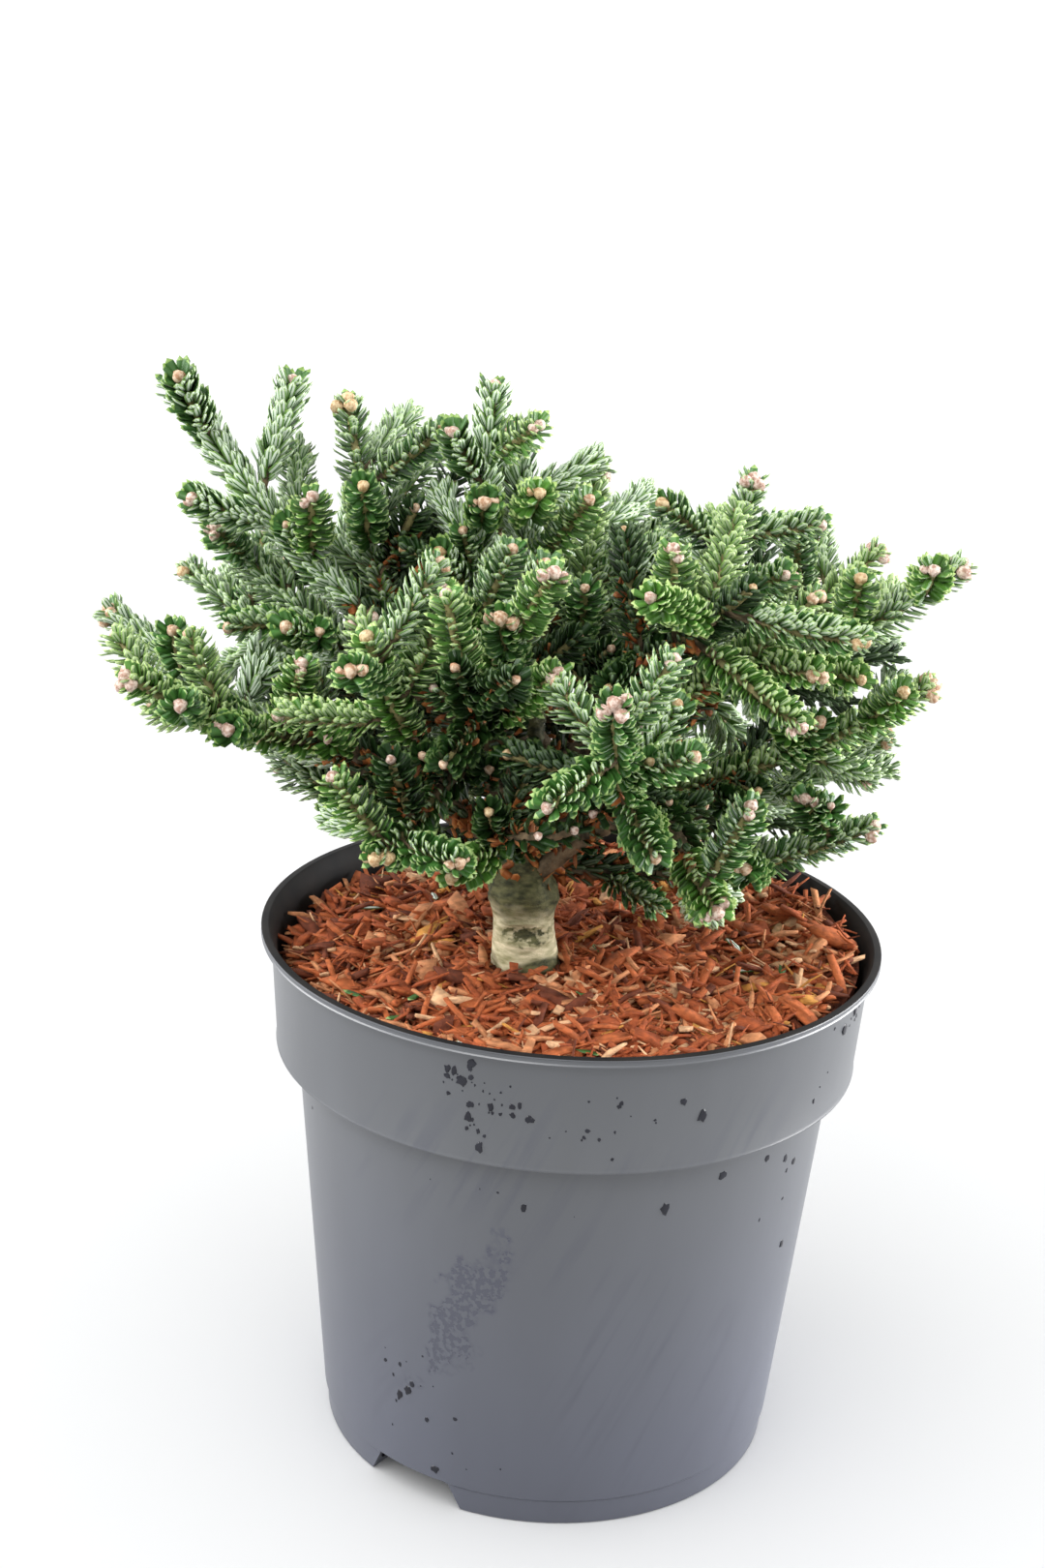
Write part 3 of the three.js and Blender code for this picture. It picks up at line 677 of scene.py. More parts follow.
def add_limb(bm, line, start, steps, sides, radius):
    """A tapering round limb extruded ring by ring to its line's end, closed at both ends."""

    def ring_place(t):
        way = heading(line, t)
        turn = Matrix(np.column_stack([*across(way, heading(line, 0.5)), way]).tolist())
        place = Matrix.Translation(Vector(along(line, t)))
        return place @ turn.to_4x4() @ Matrix.Scale(radius(t), 4)

    place = ring_place(start)
    made = bmesh.ops.create_circle(bm, cap_ends=False, radius=1, segments=sides, matrix=place)
    foot = ring = {edge for vert in made["verts"] for edge in vert.link_edges}
    for k in range(1, steps + 1):
        grown = bmesh.ops.extrude_edge_only(bm, edges=list(ring))["geom"]
        verts = {item for item in grown if isinstance(item, bmesh.types.BMVert)}
        next_place = ring_place(start + (1 - start) * k / steps)
        move = next_place @ place.inverted()
        bmesh.ops.transform(bm, matrix=move, verts=list(verts))
        place = next_place
        edges = {edge for vert in verts for edge in vert.link_edges}
        ring = {edge for edge in edges if verts.issuperset(edge.verts)}
    bmesh.ops.holes_fill(bm, edges=list(foot) + list(ring), sides=sides)


def hump(distance_from_top, width):
    """A smooth hump: 1 at its top, near 0 past twice its width."""
    return math.exp(-((distance_from_top / width) ** 2))


def trunk_relief(point):
    """How far the bark stands out: wrinkles, the collar's lumps and the healed scar."""
    x, y, z = point
    height = (z - TRUNK_FOOT[2]) / (TRUNK_TIP[2] - TRUNK_FOOT[2])
    fine = rough((x, y, 2.5 * z), 2.2 * MM, 0.16 * MM)
    lumps = (0.4 + 0.6 * height) * rough(point, 7 * MM, 0.5 * MM)
    collar = 2.3 * MM * hump(z - COLLAR_HEIGHT - 2 * MM, 4.5 * MM)
    older = min(1.0, max(0.0, (z - COLLAR_HEIGHT + 5 * MM) / (8 * MM)))
    coarse = older * rough(point, 3 * MM, 0.9 * MM)
    away = math.hypot((x - SCAR[0]) / SCAR_REACH[0], (z - SCAR[2]) / SCAR_REACH[2])
    scar = 0.75 * MM * hump(away - 1.15, 0.35) - 0.8 * MM * math.exp(-(away**4))
    return fine + lumps + collar + coarse + (scar if y < TRUNK_FOOT[1] else 0)


def weathered(bm, relief_at):
    """Every vertex moved out along its normal by the relief at its place."""
    bmesh.ops.recalc_face_normals(bm, faces=bm.faces)
    bm.normal_update()
    shifts = [(vert, vert.normal.copy() * relief_at(vert.co)) for vert in bm.verts]
    for vert, shift in shifts:
        vert.co += shift


def trunk_bark():
    """Grey-olive bark, darker and greener at the foot, in the scar and above the collar."""
    material, tree, shader = new_material("trunk_bark", 0.68, 0.3)
    place = own_place(tree)
    bark_size = 3.5 * MM
    smooth, _ = mottled(tree, (0.25, 0.23, 0.11), (0.7, 0.62, 0.42), bark_size, 3, (0.7, 0.7, 2.6))
    old, height = mottled(
        tree, (0.028, 0.031, 0.012), (0.14, 0.135, 0.055), 3 * MM, 3, (1, 1, 2.2),
    )
    level = add_node(tree, "SeparateXYZ", place).outputs["Z"]
    level = computed(tree, "MULTIPLY_ADD", noise_at(tree, place, 150, 3), 8 * MM, level)
    ragged = graded(tree, noise_at(tree, place, 520, 3), 0.35, 0.65, -0.45, 0.45)
    to_scar = computed(tree, "ADD", distance_in(tree, place, SCAR, SCAR_REACH), ragged)
    to_wet = distance_in(tree, place, WET_FOOT, WET_REACH)
    dark = graded(tree, level, COLLAR_HEIGHT - MM, COLLAR_HEIGHT + 5 * MM)
    for mask in (
        graded(tree, level, TRUNK_FOOT[2] + 4 * MM, TRUNK_FOOT[2] + 8 * MM, 0.7, 0),
        graded(tree, to_scar, 0.7, 1.1, 1, 0),
        graded(tree, to_wet, 0.8, 1.15, 1, 0),
    ):
        dark = computed(tree, "MAXIMUM", dark, mask)
    tree.links.new(blended(tree, dark, smooth, old), shader.inputs["Base Color"])
    relief(tree, shader, height, 0.6, 0.6 * MM)
    return material


def trunk():
    """The weathered trunk, cut flat where it meets the mulch."""
    bm = bmesh.new()
    add_limb(bm, TRUNK_LINE, BELOW_THE_CUT, TRUNK_STEPS, TRUNK_SIDES, trunk_radius)
    weathered(bm, trunk_relief)
    below = bmesh.ops.bisect_plane(
        bm, geom=bm.verts[:] + bm.edges[:] + bm.faces[:],
        plane_co=(0, 0, TRUNK_FOOT[2]), plane_no=(0, 0, -1), clear_outer=True,
    )
    rim = [item for item in below["geom_cut"] if isinstance(item, bmesh.types.BMEdge)]
    bmesh.ops.holes_fill(bm, edges=rim)
    return mesh_of("trunk_and_bark", bm)


dressed("trunk_and_bark", trunk(), "bark", trunk_bark(), smooth=40, replaces=["trunk"])

# ------------------------------------------------------------------------------------------
# Boughs: woody limbs that leave the trunk below, or another bough, and end where their spray
# of foliage begins. Grey-brown bark with rings where each year's buds sat.
GAP = 0.3 * MM
BOUGH_TIP_RADIUS = 1.9 * MM
BOUGH_SIDES = 14
SAG = 0.12
# Each mass of foliage: name, the limb it grows from and how far along it; the tip of its own
# bough and the radius at the bough's root, or None where it has no bough; the tip of its
# leader; then bare stem, side shoots, their spread in degrees, their length and the seed. A
# tip is azimuth in degrees, reach and height; all sizes are in millimetres.
MASSES = (
    ("crest", "trunk", 1, None, (149.7, 25.9, 289.4), 10.8, 5, 78, 26, 30307),
    ("upper_left", "trunk", 0.41, (-176.3, 60.5, 242, 5),
     (-176.1, 111.6, 301.5), 4, 7, 50, 27, 9293),
    ("top_left", "upper_left", 0.68, (173.5, 55.6, 239.2, 2.7),
     (167.9, 69.4, 293.9), 4, 8, 64, 32, 30139),
    ("mid_left", "upper_left", 0.45, (-177.5, 54, 224.3, 2.3),
     (171.4, 109, 262.4), 3, 8, 64, 22, 9391),
    ("left", "trunk", 0.33, (-173.7, 63.9, 198.7, 3.7),
     (179.2, 129.9, 235.7), 3, 7, 64, 22, 32225),
    ("front_left", "left", 0.55, (-162.6, 75, 209.9, 2.5),
     (-156, 126, 234.1), 3, 7, 64, 22, 28186),
    ("back_left", "trunk", 0.64, (155.3, 56.1, 207.3, 3.1),
     (153.2, 132.8, 233.5), 4, 7, 64, 22, 35263),
    ("low_left", "trunk", 0.33, (-131, 54.3, 205.8, 2.8),
     (-127, 82.3, 195.2), 2, 5, 78, 26, 12478),
    ("upright_left", "low_left", 0.7, (-134, 60.2, 216.4, 1.7),
     (-132.4, 80.3, 250), 8, 5, 64, 27, 9181),
    ("under_left", "trunk", 0.22, (170.8, 35.6, 172.3, 3),
     (174.2, 89.6, 199.3), 3, 7, 50, 24, 29614),
    ("crest_left", "trunk", 0.9, (-176.8, 33.3, 234.1, 2.8),
     (176.8, 28.5, 302), 5, 8, 64, 22, 3119),
    ("crest_right", "trunk", 0.82, (-128.3, 3.8, 229.9, 2.8),
     (92.3, 26.9, 275.5), 4, 8, 64, 22, 34192),
    ("top_right", "trunk", 0.35, (-1.7, 28, 225.6, 3.6), (10.4, 42.2, 280.3), 4, 8, 64, 22, 3007),
    ("inner_right", "top_right", 0.52, (-64.6, 20, 234.3, 2.3),
     (-46, 57.7, 263.7), 3, 8, 64, 32, 31336),
    ("upper_right", "top_right", 0.58, (-7.3, 46.6, 231.7, 2.5),
     (0, 97.7, 262.2), 3, 6, 64, 22, 781),
    ("shoulder_right", "trunk", 0.52, (-45.1, 28.7, 224.3, 2.8),
     (-24.4, 63.8, 258.3), 3, 7, 50, 24, 28641),
    ("back_right_high", "trunk", 0.73, (51.7, 43.2, 211.7, 3.1),
     (30.9, 94.9, 253.1), 4, 7, 78, 26, 12632),
    ("right", "trunk", 0.68, (9.7, 14.4, 190.7, 3.3), (-7.1, 92.2, 231.8), 3, 7, 50, 24, 31602),
    ("back_right", "trunk", 0.48, (17.7, 36.4, 185, 3.1), (7.9, 83.9, 210.3), 3, 7, 50, 30, 17315),
    ("low_right", "trunk", 0.3, (16.3, 24, 166.9, 2.8), (-3.4, 80.4, 188.8), 3, 5, 78, 26, 12821),
    ("under_right", "trunk", 0.23, (-54.7, 48.4, 192.5, 2.5),
     (-56.4, 66.1, 182.1), 2, 2, 78, 26, 11414),
    ("front_right", "trunk", 0.49, (-73.7, 42, 206.8, 3),
     (-86.2, 103.8, 250.7), 2, 7, 64, 27, 12912),
    ("front_centre", "trunk", 0.63, None, (-113.6, 79, 247.9), 40.8, 7, 50, 30, 24602),
    ("front_high", "trunk", 0.75, None, (-110.8, 61.1, 256.4), 23, 7, 50, 24, 10168),
    ("front_low", "trunk", 0.35, None, (-107.8, 72, 210), 28.7, 6, 50, 24, 19702),
    ("front_left_high", "trunk", 0.79, None, (-138.1, 50.6, 256.3), 30.5, 6, 64, 22, 12023),
    ("rear_left", "trunk", 0.42, (137.9, 45, 194.9, 3.3),
     (141.9, 115.3, 252.2), 4, 8, 50, 24, 25015),
    ("rear_centre", "trunk", 0.55, (120.6, 35.6, 214.2, 3.1),
     (108.1, 96.3, 246.7), 4, 8, 50, 30, 4309),
    ("rear_right", "trunk", 0.47, (75.4, 36.6, 205, 3.3),
     (53.3, 108.4, 236.2), 4, 8, 78, 26, 16951),
    ("rear_high", "trunk", 0.9, None, (80.4, 51, 260.4), 20.8, 7, 64, 22, 5527),
    ("rear_low", "trunk", 0.34, None, (137.1, 89.8, 197), 34.5, 6, 50, 30, 6248),
    ("rear_low_right", "trunk", 0.38, None, (61.1, 84, 186), 33.6, 6, 50, 30, 7158),
)
limb_lines = {"trunk": TRUNK_LINE}
leader_lines = {}


def place_of(azimuth, reach, height):
    """A point by its azimuth in degrees, its reach from the pot's axis and its height in mm."""
    turn = math.radians(azimuth)
    return np.array([reach * math.cos(turn), reach * math.sin(turn), height]) * MM


def leader_line(base, tip):
    """A leader runs out from its limb and rises to its tip."""
    return base, (base + tip) / 2 - np.array([0, 0, SAG * distance(base, tip)]), tip


def bough_taper(thickness, t):
    return thickness * MM + (BOUGH_TIP_RADIUS - thickness * MM) * t


def boughs():
    """Every bough, with a low ring where each year's growth began."""
    bm = bmesh.new()
    for name, _, _, bough, *_ in MASSES:
        if not bough:
            continue
        line = limb_lines[name]
        span = distance(line[0], line[2])
        years = max(1, round(span / (15 * MM)))

        def bough_radius(t):
            ring = math.exp(-(((t * years) % 1 - 0.5) ** 2) / 0.012)
            return bough_taper(bough[3], t) * (1 + 0.13 * ring)

        add_limb(bm, line, 0, max(10, round(span / (1.1 * MM))), BOUGH_SIDES, bough_radius)
    weathered(bm, lambda point: rough(point, 2.2 * MM, 0.4 * MM))
    return mesh_of("boughs", bm)


for name, host, at, bough, tip, *_ in MASSES:
    base, tip = along(limb_lines[host], at), place_of(*tip)
    if bough:
        end = place_of(*bough[:3])
        way = heading(leader_line(end, tip), 0)
        limb_lines[name] = (base, end - way * (0.42 * distance(base, end)), end)
        base = end + way * GAP
    leader_lines[name] = leader_line(base, tip)
bough_bark = patchy(
    "bough_bark", 0.8, 0.25, (0.045, 0.035, 0.022), (0.21, 0.155, 0.09), 3.5 * MM, 3,
    bump=(0.7, 0.5 * MM),
)
bough_names = ["bough_" + row[0] for row in MASSES if row[3]]
dressed("boughs", boughs(), "bark", bough_bark, smooth=40, replaces=bough_names)

# ------------------------------------------------------------------------------------------
# Shoots and twigs: each mass is a leader with side shoots round it, placed by the seeded rule
# of the solids; a shoot whose needles would meet another mass is left out. Short forks leave
# them level with the shoot, and a few twigs fill the inside. Bark green-brown, older at a foot.
REACH = 6.2 * MM
SHANK = 3.2 * MM
BARE_STEM = 2.2 * MM
SHANK_SHARE = 0.16
LEADER_FOOT = 2.8 * MM
SHOOT_FOOT = 1.3 * MM
TWIG_FOOT = 0.9 * MM
LIFT = 0.28
GOLDEN_TURN = 137.5
FORK_LENGTH = 12.5 * MM
INNER_TWIG = 17 * MM
FORK_LEAN = 48
FORK_BARE = 0.12
HEART = np.array([-16, 0, 205]) * MM
CROWN_REACH = np.array([118, 104, 92]) * MM
INNER_SHARE = 0.72
BARE_OF_FORKS = ("front_low", "under_right", "low_left")
# Where the crown opens forward and up to its dark inside: place and radius in millimetres, and
# the share of needles and number of withered ones left on each shoot there.
HOLLOWS = (
    ((11, -20, 241), 14, 0.8, 15),
    ((-54, 0, 249), 12, 0.7, 14),
    ((-30, -30, 203), 15, 0.8, 9),
    ((-23, -30, 219), 11, 0.8, 8),
    ((38, -10, 205), 13, 0.8, 8),
    ((-6, -60, 202), 12, 0.2, 24),
)
HOLLOW_SLOPE = 0.29
HOLLOW_DEPTHS = (-44, 30)
# Places in millimetres that a twig from the nearest bough fills.
INNER_PLACES = (
    (68, 18, 218), (57, 18, 179), (79, 18, 230), (46, 18, 259), (-39, 18, 274), (38, 18, 179),
    (-89, 18, 210), (-9, 18, 204), (-70, 18, 211), (-65, 18, 245), (-45, 18, 258), (-2, 18, 232),
)
TWIG_SIDES = 6
TWIG_RINGS = 8
TWIG_TIP_RADII = {"leader": 1.1 * MM, "side": 1.1 * MM, "fork": 0.75 * MM, "inner": 0.75 * MM}
growth = np.random.default_rng(918)


def draws(seed):
    """Numbers between 0 and 1 that a seed fixes."""
    state = seed
    while True:
        state = (state * 48271) % 2147483647
        yield state / 2147483647


def pieces(owner, line, start, end, count, radius):
    """Straight pieces of a centre line, each with the radius of the space it keeps."""
    stations = [start + (end - start) * i / count for i in range(count + 1)]
    return [
        (owner, along(line, t), along(line, after), radius(t) if callable(radius) else radius)
        for t, after in zip(stations, stations[1:])
    ]


def gaps_to(a, b, starts, ends):
    """The shortest distances from one straight piece to many."""
    first, second, offset = b - a, ends - starts, a - starts
    aa = first @ first
    bb = (second * second).sum(1)
    ab = second @ first
    ao = offset @ first
    bo = (second * offset).sum(1)
    spread = aa * bb - ab * ab
    skew = spread > 1e-21
    s = np.where(skew, np.clip((ab * bo - ao * bb) / np.where(skew, spread, 1), 0, 1), 0)
    t = (ab * s + bo) / bb
    past_end = np.where(t > 1, np.clip((ab - ao) / aa, 0, 1), s)
    s = np.where(t < 0, np.clip(-ao / aa, 0, 1), past_end)
    between = a + first * s[:, None] - starts - second * np.clip(t, 0, 1)[:, None]
    return np.sqrt((between * between).sum(1))


def side_shoots(line, bare, count, spread, length, seed):
    """The side shoots of a leader: a seeded turn, then the golden angle with some play."""
    draw = draws(seed)
    turn = 360 * next(draw)
    first = min(0.7, (bare + 3) * MM / distance(line[0], line[2]))
    for i in range(count):
        at = first + ((0.86 - first) * (i + 0.9 * next(draw))) / count
        around = math.radians(turn + GOLDEN_TURN * i + 70 * (next(draw) - 0.5))
        lean = math.radians(spread + 30 * (next(draw) - 0.5))
        run = length * MM * (0.8 + 0.4 * next(draw))
        ahead = heading(line, at)
        way = ahead * math.cos(lean) + turned(ahead, around) * math.sin(lean)
        root = along(line, at)
        middle = root + way * (0.5 * run)
        yield root, middle, middle + unit(way + np.array([0, 0, LIFT])) * (0.5 * run)


def has_room(space, mass, host, kept):
    """True where only its own mass, and at its shank its own limb, is in a shoot's way."""
    owners, starts, ends, radii = (np.array(column) for column in zip(*kept))
    for _, a, b, radius in space:
        own = (owners == mass) | ((owners == host) & (radius == SHANK))
        if not (own | (gaps_to(a, b, starts, ends) >= radius + radii + GAP)).all():
            return False
    return True


def grown_shoots():
    """Every leader and side shoot that has room: mass, order, line, bare share and radius."""
    kept = pieces("trunk", TRUNK_LINE, 0, 1, 8, trunk_radius)
    bare_shares = {}
    for name, _, _, bough, _, bare, *_ in MASSES:
        if bough:
            kept += pieces(name, limb_lines[name], 0.1, 1, 4, lambda t: bough_taper(bough[3], t))
        line = leader_lines[name]
        bare_shares[name] = min(0.7, (bare + 2) * MM / distance(line[0], line[2]))
    for name, share in bare_shares.items():
        kept += pieces(name + "+", leader_lines[name], 0, share, 1, BARE_STEM)
        kept += pieces(name + "+", leader_lines[name], share, 1, 3, REACH)
    grown = []
    for name, host, _, bough, _, *rule in MASSES:
        line = leader_lines[name]
        share = max(0.02, bare_shares[name] - 4 * MM / distance(line[0], line[2]))
        grown.append((name, "leader", line, share, BOUGH_TIP_RADIUS if bough else LEADER_FOOT))
        for shoot in side_shoots(line, *rule):
            space = pieces(name + "+", shoot, 0, 0.35, 1, SHANK)
            space += pieces(name + "+", shoot, 0.35, 0.68, 1, REACH)
            space += pieces(name + "+", shoot, 0.68, 1, 1, REACH)
            if has_room(space, name + "+", name if bough else host, kept):
                kept += space
                grown.append((name, "side", shoot, SHANK_SHARE, SHOOT_FOOT))
    return grown


def hollow_of(line):
    """The share and count of the hollow round a shoot's middle or tip, or None."""
    for (x, y, z), radius, share, count in HOLLOWS:
        for point in (along(line, 0.5) / MM, line[2] / MM):
            depth = point[1] - y
            rise = point[2] - z + HOLLOW_SLOPE * depth
            within = HOLLOW_DEPTHS[0] < depth < HOLLOW_DEPTHS[1]
            if within and math.hypot(point[0] - x, rise) < radius:
                return share, count
    return None


def depth_of(tip):
    """How far out in the crown a tip lies: 0 at its heart, 1 at its outside."""
    return np.linalg.norm((tip - HEART) / CROWN_REACH)


def forks(line, bare, run, count):
    """Short twigs that fork forward from a shoot, by turns to its left and right."""
    way_round = 1 if growth.random() < 0.5 else -1
    for i in range(count):
        at = bare + (0.8 - bare) * (0.25 + 0.6 * (i + growth.random() * 0.6) / count)
        root = along(line, at)
        ahead = heading(line, at)
        side, other = across(ahead)
        roll = 0.9 * (growth.random() - 0.5)
        out = side * (math.cos(roll) * way_round) + other * math.sin(roll)
        lean = math.radians(FORK_LEAN + 14 * (growth.random() - 0.5))
        way = ahead * math.cos(lean) + out * math.sin(lean)
        half = 0.5 * (run * (0.75 + 0.5 * growth.random()))
        middle = root + way * half
        yield root, middle, middle + unit(way + ahead * 0.3 + np.array([0, 0, 0.2])) * half
        way_round = -way_round


def inner_twig(place):
    """A twig that fills a place inside the crown, from the limb that passes nearest to it."""
    place = np.array(place) * MM
    points = [along(line, t) for line in limb_lines.values() for t in (0.3, 0.45, 0.6, 0.75, 0.9)]
    root = min(points, key=lambda point: np.linalg.norm(point - place))
    tip = place + unit(place - root) * (7 * MM)
    return root, (root + tip) / 2 + np.array([0, 0, 1.5 * MM]), tip


def with_forks(grown):
    """The shoots, their forks, and the twigs inside the crown."""
    clad = []
    for name, order, line, bare, radius in grown:
        clad.append((name, order, line, bare, radius))
        inner = depth_of(line[2]) < INNER_SHARE and not hollow_of(line)
        count = 1 if (inner or order == "leader") and name not in BARE_OF_FORKS else 0
        for fork in forks(line, bare, FORK_LENGTH, count):
            clad.append((name, "fork", fork, FORK_BARE, TWIG_FOOT))
    for name, line in list(limb_lines.items())[1:]:
        for fork in forks(line, 0.45, INNER_TWIG, 2):
            clad.append((name, "fork", fork, FORK_BARE, TWIG_FOOT))
    for place in INNER_PLACES:
        clad.append((None, "inner", inner_twig(place), FORK_BARE, TWIG_FOOT))
    return clad


def twig_shape(line, root_radius, tip_radius):
    """The vertices of one round twig along its line."""
    rings = []
    for k in range(TWIG_RINGS):
        t = 0.985 * k / (TWIG_RINGS - 1)
        side, other = across(heading(line, t), heading(line, 0.5))
        taper = min(1, 1.25 * k / (TWIG_RINGS - 1))
        radius = root_radius + (tip_radius - root_radius) * taper
        radius *= 1 + 0.14 * (growth.random() - 0.5)
        turns = 2 * math.pi * np.arange(TWIG_SIDES) / TWIG_SIDES
        round_it = np.outer(np.cos(turns), side) + np.outer(np.sin(turns), other)
        rings.append(along(line, t) + radius * round_it)
    return np.concatenate(rings)


def twigs():
    """Every shoot's stem, woody below its needles and all the way where they have dropped."""
    shapes = np.array([
        twig_shape(line, radius, TWIG_TIP_RADII[order])
        for _, order, line, _, radius in clad_shoots
    ])
    up_to = np.array([
        1 if (hollow_of(line) or (1, 0))[0] < 0.5 else bare for _, _, line, bare, _ in clad_shoots
    ])
    steps = np.repeat(np.arange(TWIG_RINGS - 1) / (TWIG_RINGS - 1), TWIG_SIDES)
    woody = np.array([0, *steps, 1])[None, :] < up_to[:, None] + 0.06
    return joined("twigs", shapes, tube_faces(TWIG_RINGS, TWIG_SIDES), woody)


clad_shoots = with_forks(grown_shoots())
twig_finishes = [
    bark_finish("twig_bark_young", (0.14, 0.13, 0.05), (0.34, 0.29, 0.13), 3 * MM, 0.6, 0.2 * MM),
    bark_finish("twig_bark_old", (0.06, 0.045, 0.026), (0.2, 0.14, 0.08), 3 * MM, 0.8, 0.3 * MM),
]
dressed("twigs", twigs(), "bark", *twig_finishes, smooth=60)

# ------------------------------------------------------------------------------------------
# Needles: thick, blunt and slightly curved, grooved and glossy green above, with two white
# bands beside a green rib below. They lean forward all round a shoot, closest to it on silver
# sprays, whose bands show. Each spray takes one of four greens: the darkest inside the crown, as
# painted shade on older needles, and a bright one of painted light, most often at the front.
NEEDLE_LENGTH = 8.0 * MM
NEEDLE_WIDTH = 2.15 * MM
NEEDLE_THICKNESS = 0.24
NEEDLES_PER_MM = 4.6
MOST_NEEDLES = 6800
# The rings round a needle: how far along it, and its share of the width there.
STATIONS = ((0.32, 1.0), (0.82, 0.97))
# Across a needle: groove between its edges above, then margin, band, rib, band and margin.
SECTION = ((-1, 0), (0, -0.16), (1, 0), (0.66, -0.5), (0.15, -1), (-0.15, -1), (-0.66, -0.5))
ABOVE, MARGIN, BAND, TIP = range(4)
STRIPS = (ABOVE, ABOVE, MARGIN, BAND, ABOVE, BAND, MARGIN)
# Each finish of a needle: its darker and lighter share of the colour, and its roughness.
NEEDLE_PARTS = (
    ("above", 0.75, 1.2, 0.38),
    ("margin", 0.85, 1.15, 0.42),
    ("bands", 0.85, 1.12, 0.62),
    ("tip", 0.85, 1.15, 0.42),
)
GREENS = (
    # name, upper side, margins, bands, tip: linear colours
    # The bright green is painted light: a lighter yellow-green for sprays lit from the front.
    ("bright", (0.06, 0.165, 0.02), (0.17, 0.29, 0.07), (0.34, 0.43, 0.24), (0.34, 0.47, 0.15)),
    ("fresh", (0.038, 0.122, 0.02), (0.105, 0.2, 0.045), (0.38, 0.46, 0.33), (0.24, 0.36, 0.11)),
    ("silver", (0.042, 0.12, 0.025), (0.1, 0.2, 0.045), (0.52, 0.61, 0.48), (0.17, 0.28, 0.06)),
    # The darkest green goes inside the crown: partly older needles, mostly painted shade.
    ("deep", (0.012, 0.036, 0.007), (0.02, 0.05, 0.01), (0.085, 0.12, 0.075), (0.05, 0.09, 0.02)),
)
# How far the needles of each green lean from their stem, in degrees.
LEANS = {"bright": 74, "fresh": 66, "silver": 43, "deep": 58}
# Needles that lean less than this lie pressed along their stem.
PRESSED_LEAN = 50
NEEDLE_SIZES = {"leader": 1.0, "side": 0.97, "fork": 0.84, "inner": 0.97}
# Masses that show the white undersides of their needles, and masses that never take the bright
# green of painted light.
SILVERY = ("upper_left", "crest", "crest_left", "back_right", "rear_left", "rear_right")
DUSKY = ("top_left", "mid_left", "low_right", "back_left", "front_right")
# How far out in the crown sprays stop taking the darkest green, painted shade on older needles,
# and the share of needles that those dark sprays have.
DEEP_LIMIT = 0.5
DEEP_SHARE = 0.6
# The share of silver sprays halfway back, and on side shoots of silvery masses; the share of
# sprays in the bright green of painted light halfway back, and what it gains to the front.
SILVER_SHARE = 0.16
SILVERY_SHARE = 0.78
FRONT_LIT_SHARE = 0.46
FRONT_LIT_GAIN = 0.35


def needle_shapes(roots, start_ways, end_ways, faces_up, lengths, widths):
    """The vertices of many needles: a root, two rings round the blade, a tip, along a curve."""
    size = len(SECTION)
    shapes = np.empty((len(roots), 2 + 2 * size, 3))

    def spine(s):
        bent = start_ways * (s - s * s / 2) + end_ways * (s * s / 2)
        return roots + lengths[:, None] * bent

    shapes[:, 0] = roots
    for ring, (s, share) in enumerate(STATIONS):
        way = unit_rows(start_ways * (1 - s) + end_ways * s)
        side = unit_rows(np.cross(faces_up, way))
        up = np.cross(way, side)
        half = (0.5 * widths * share)[:, None]
        thick = (NEEDLE_THICKNESS * widths * share)[:, None]
        for i, (a, b) in enumerate(SECTION):
            shapes[:, 1 + size * ring + i] = spine(s) + side * (a * half) + up * (b * thick)
    shapes[:, -1] = spine(1.0)
    return shapes


def needle_skin():
    """The faces of a needle, and the finish of each."""
    size = len(SECTION)
    faces, finishes = [], []
    for i, finish in enumerate(STRIPS):
        j = (i + 1) % size
        faces += [(0, 1 + j, 1 + i), (1 + i, 1 + j, 1 + size + j, 1 + size + i)]
        faces.append((1 + size + i, 1 + size + j, 1 + 2 * size))
        finishes += [finish, finish, BAND if finish == BAND else TIP]
    return faces, finishes


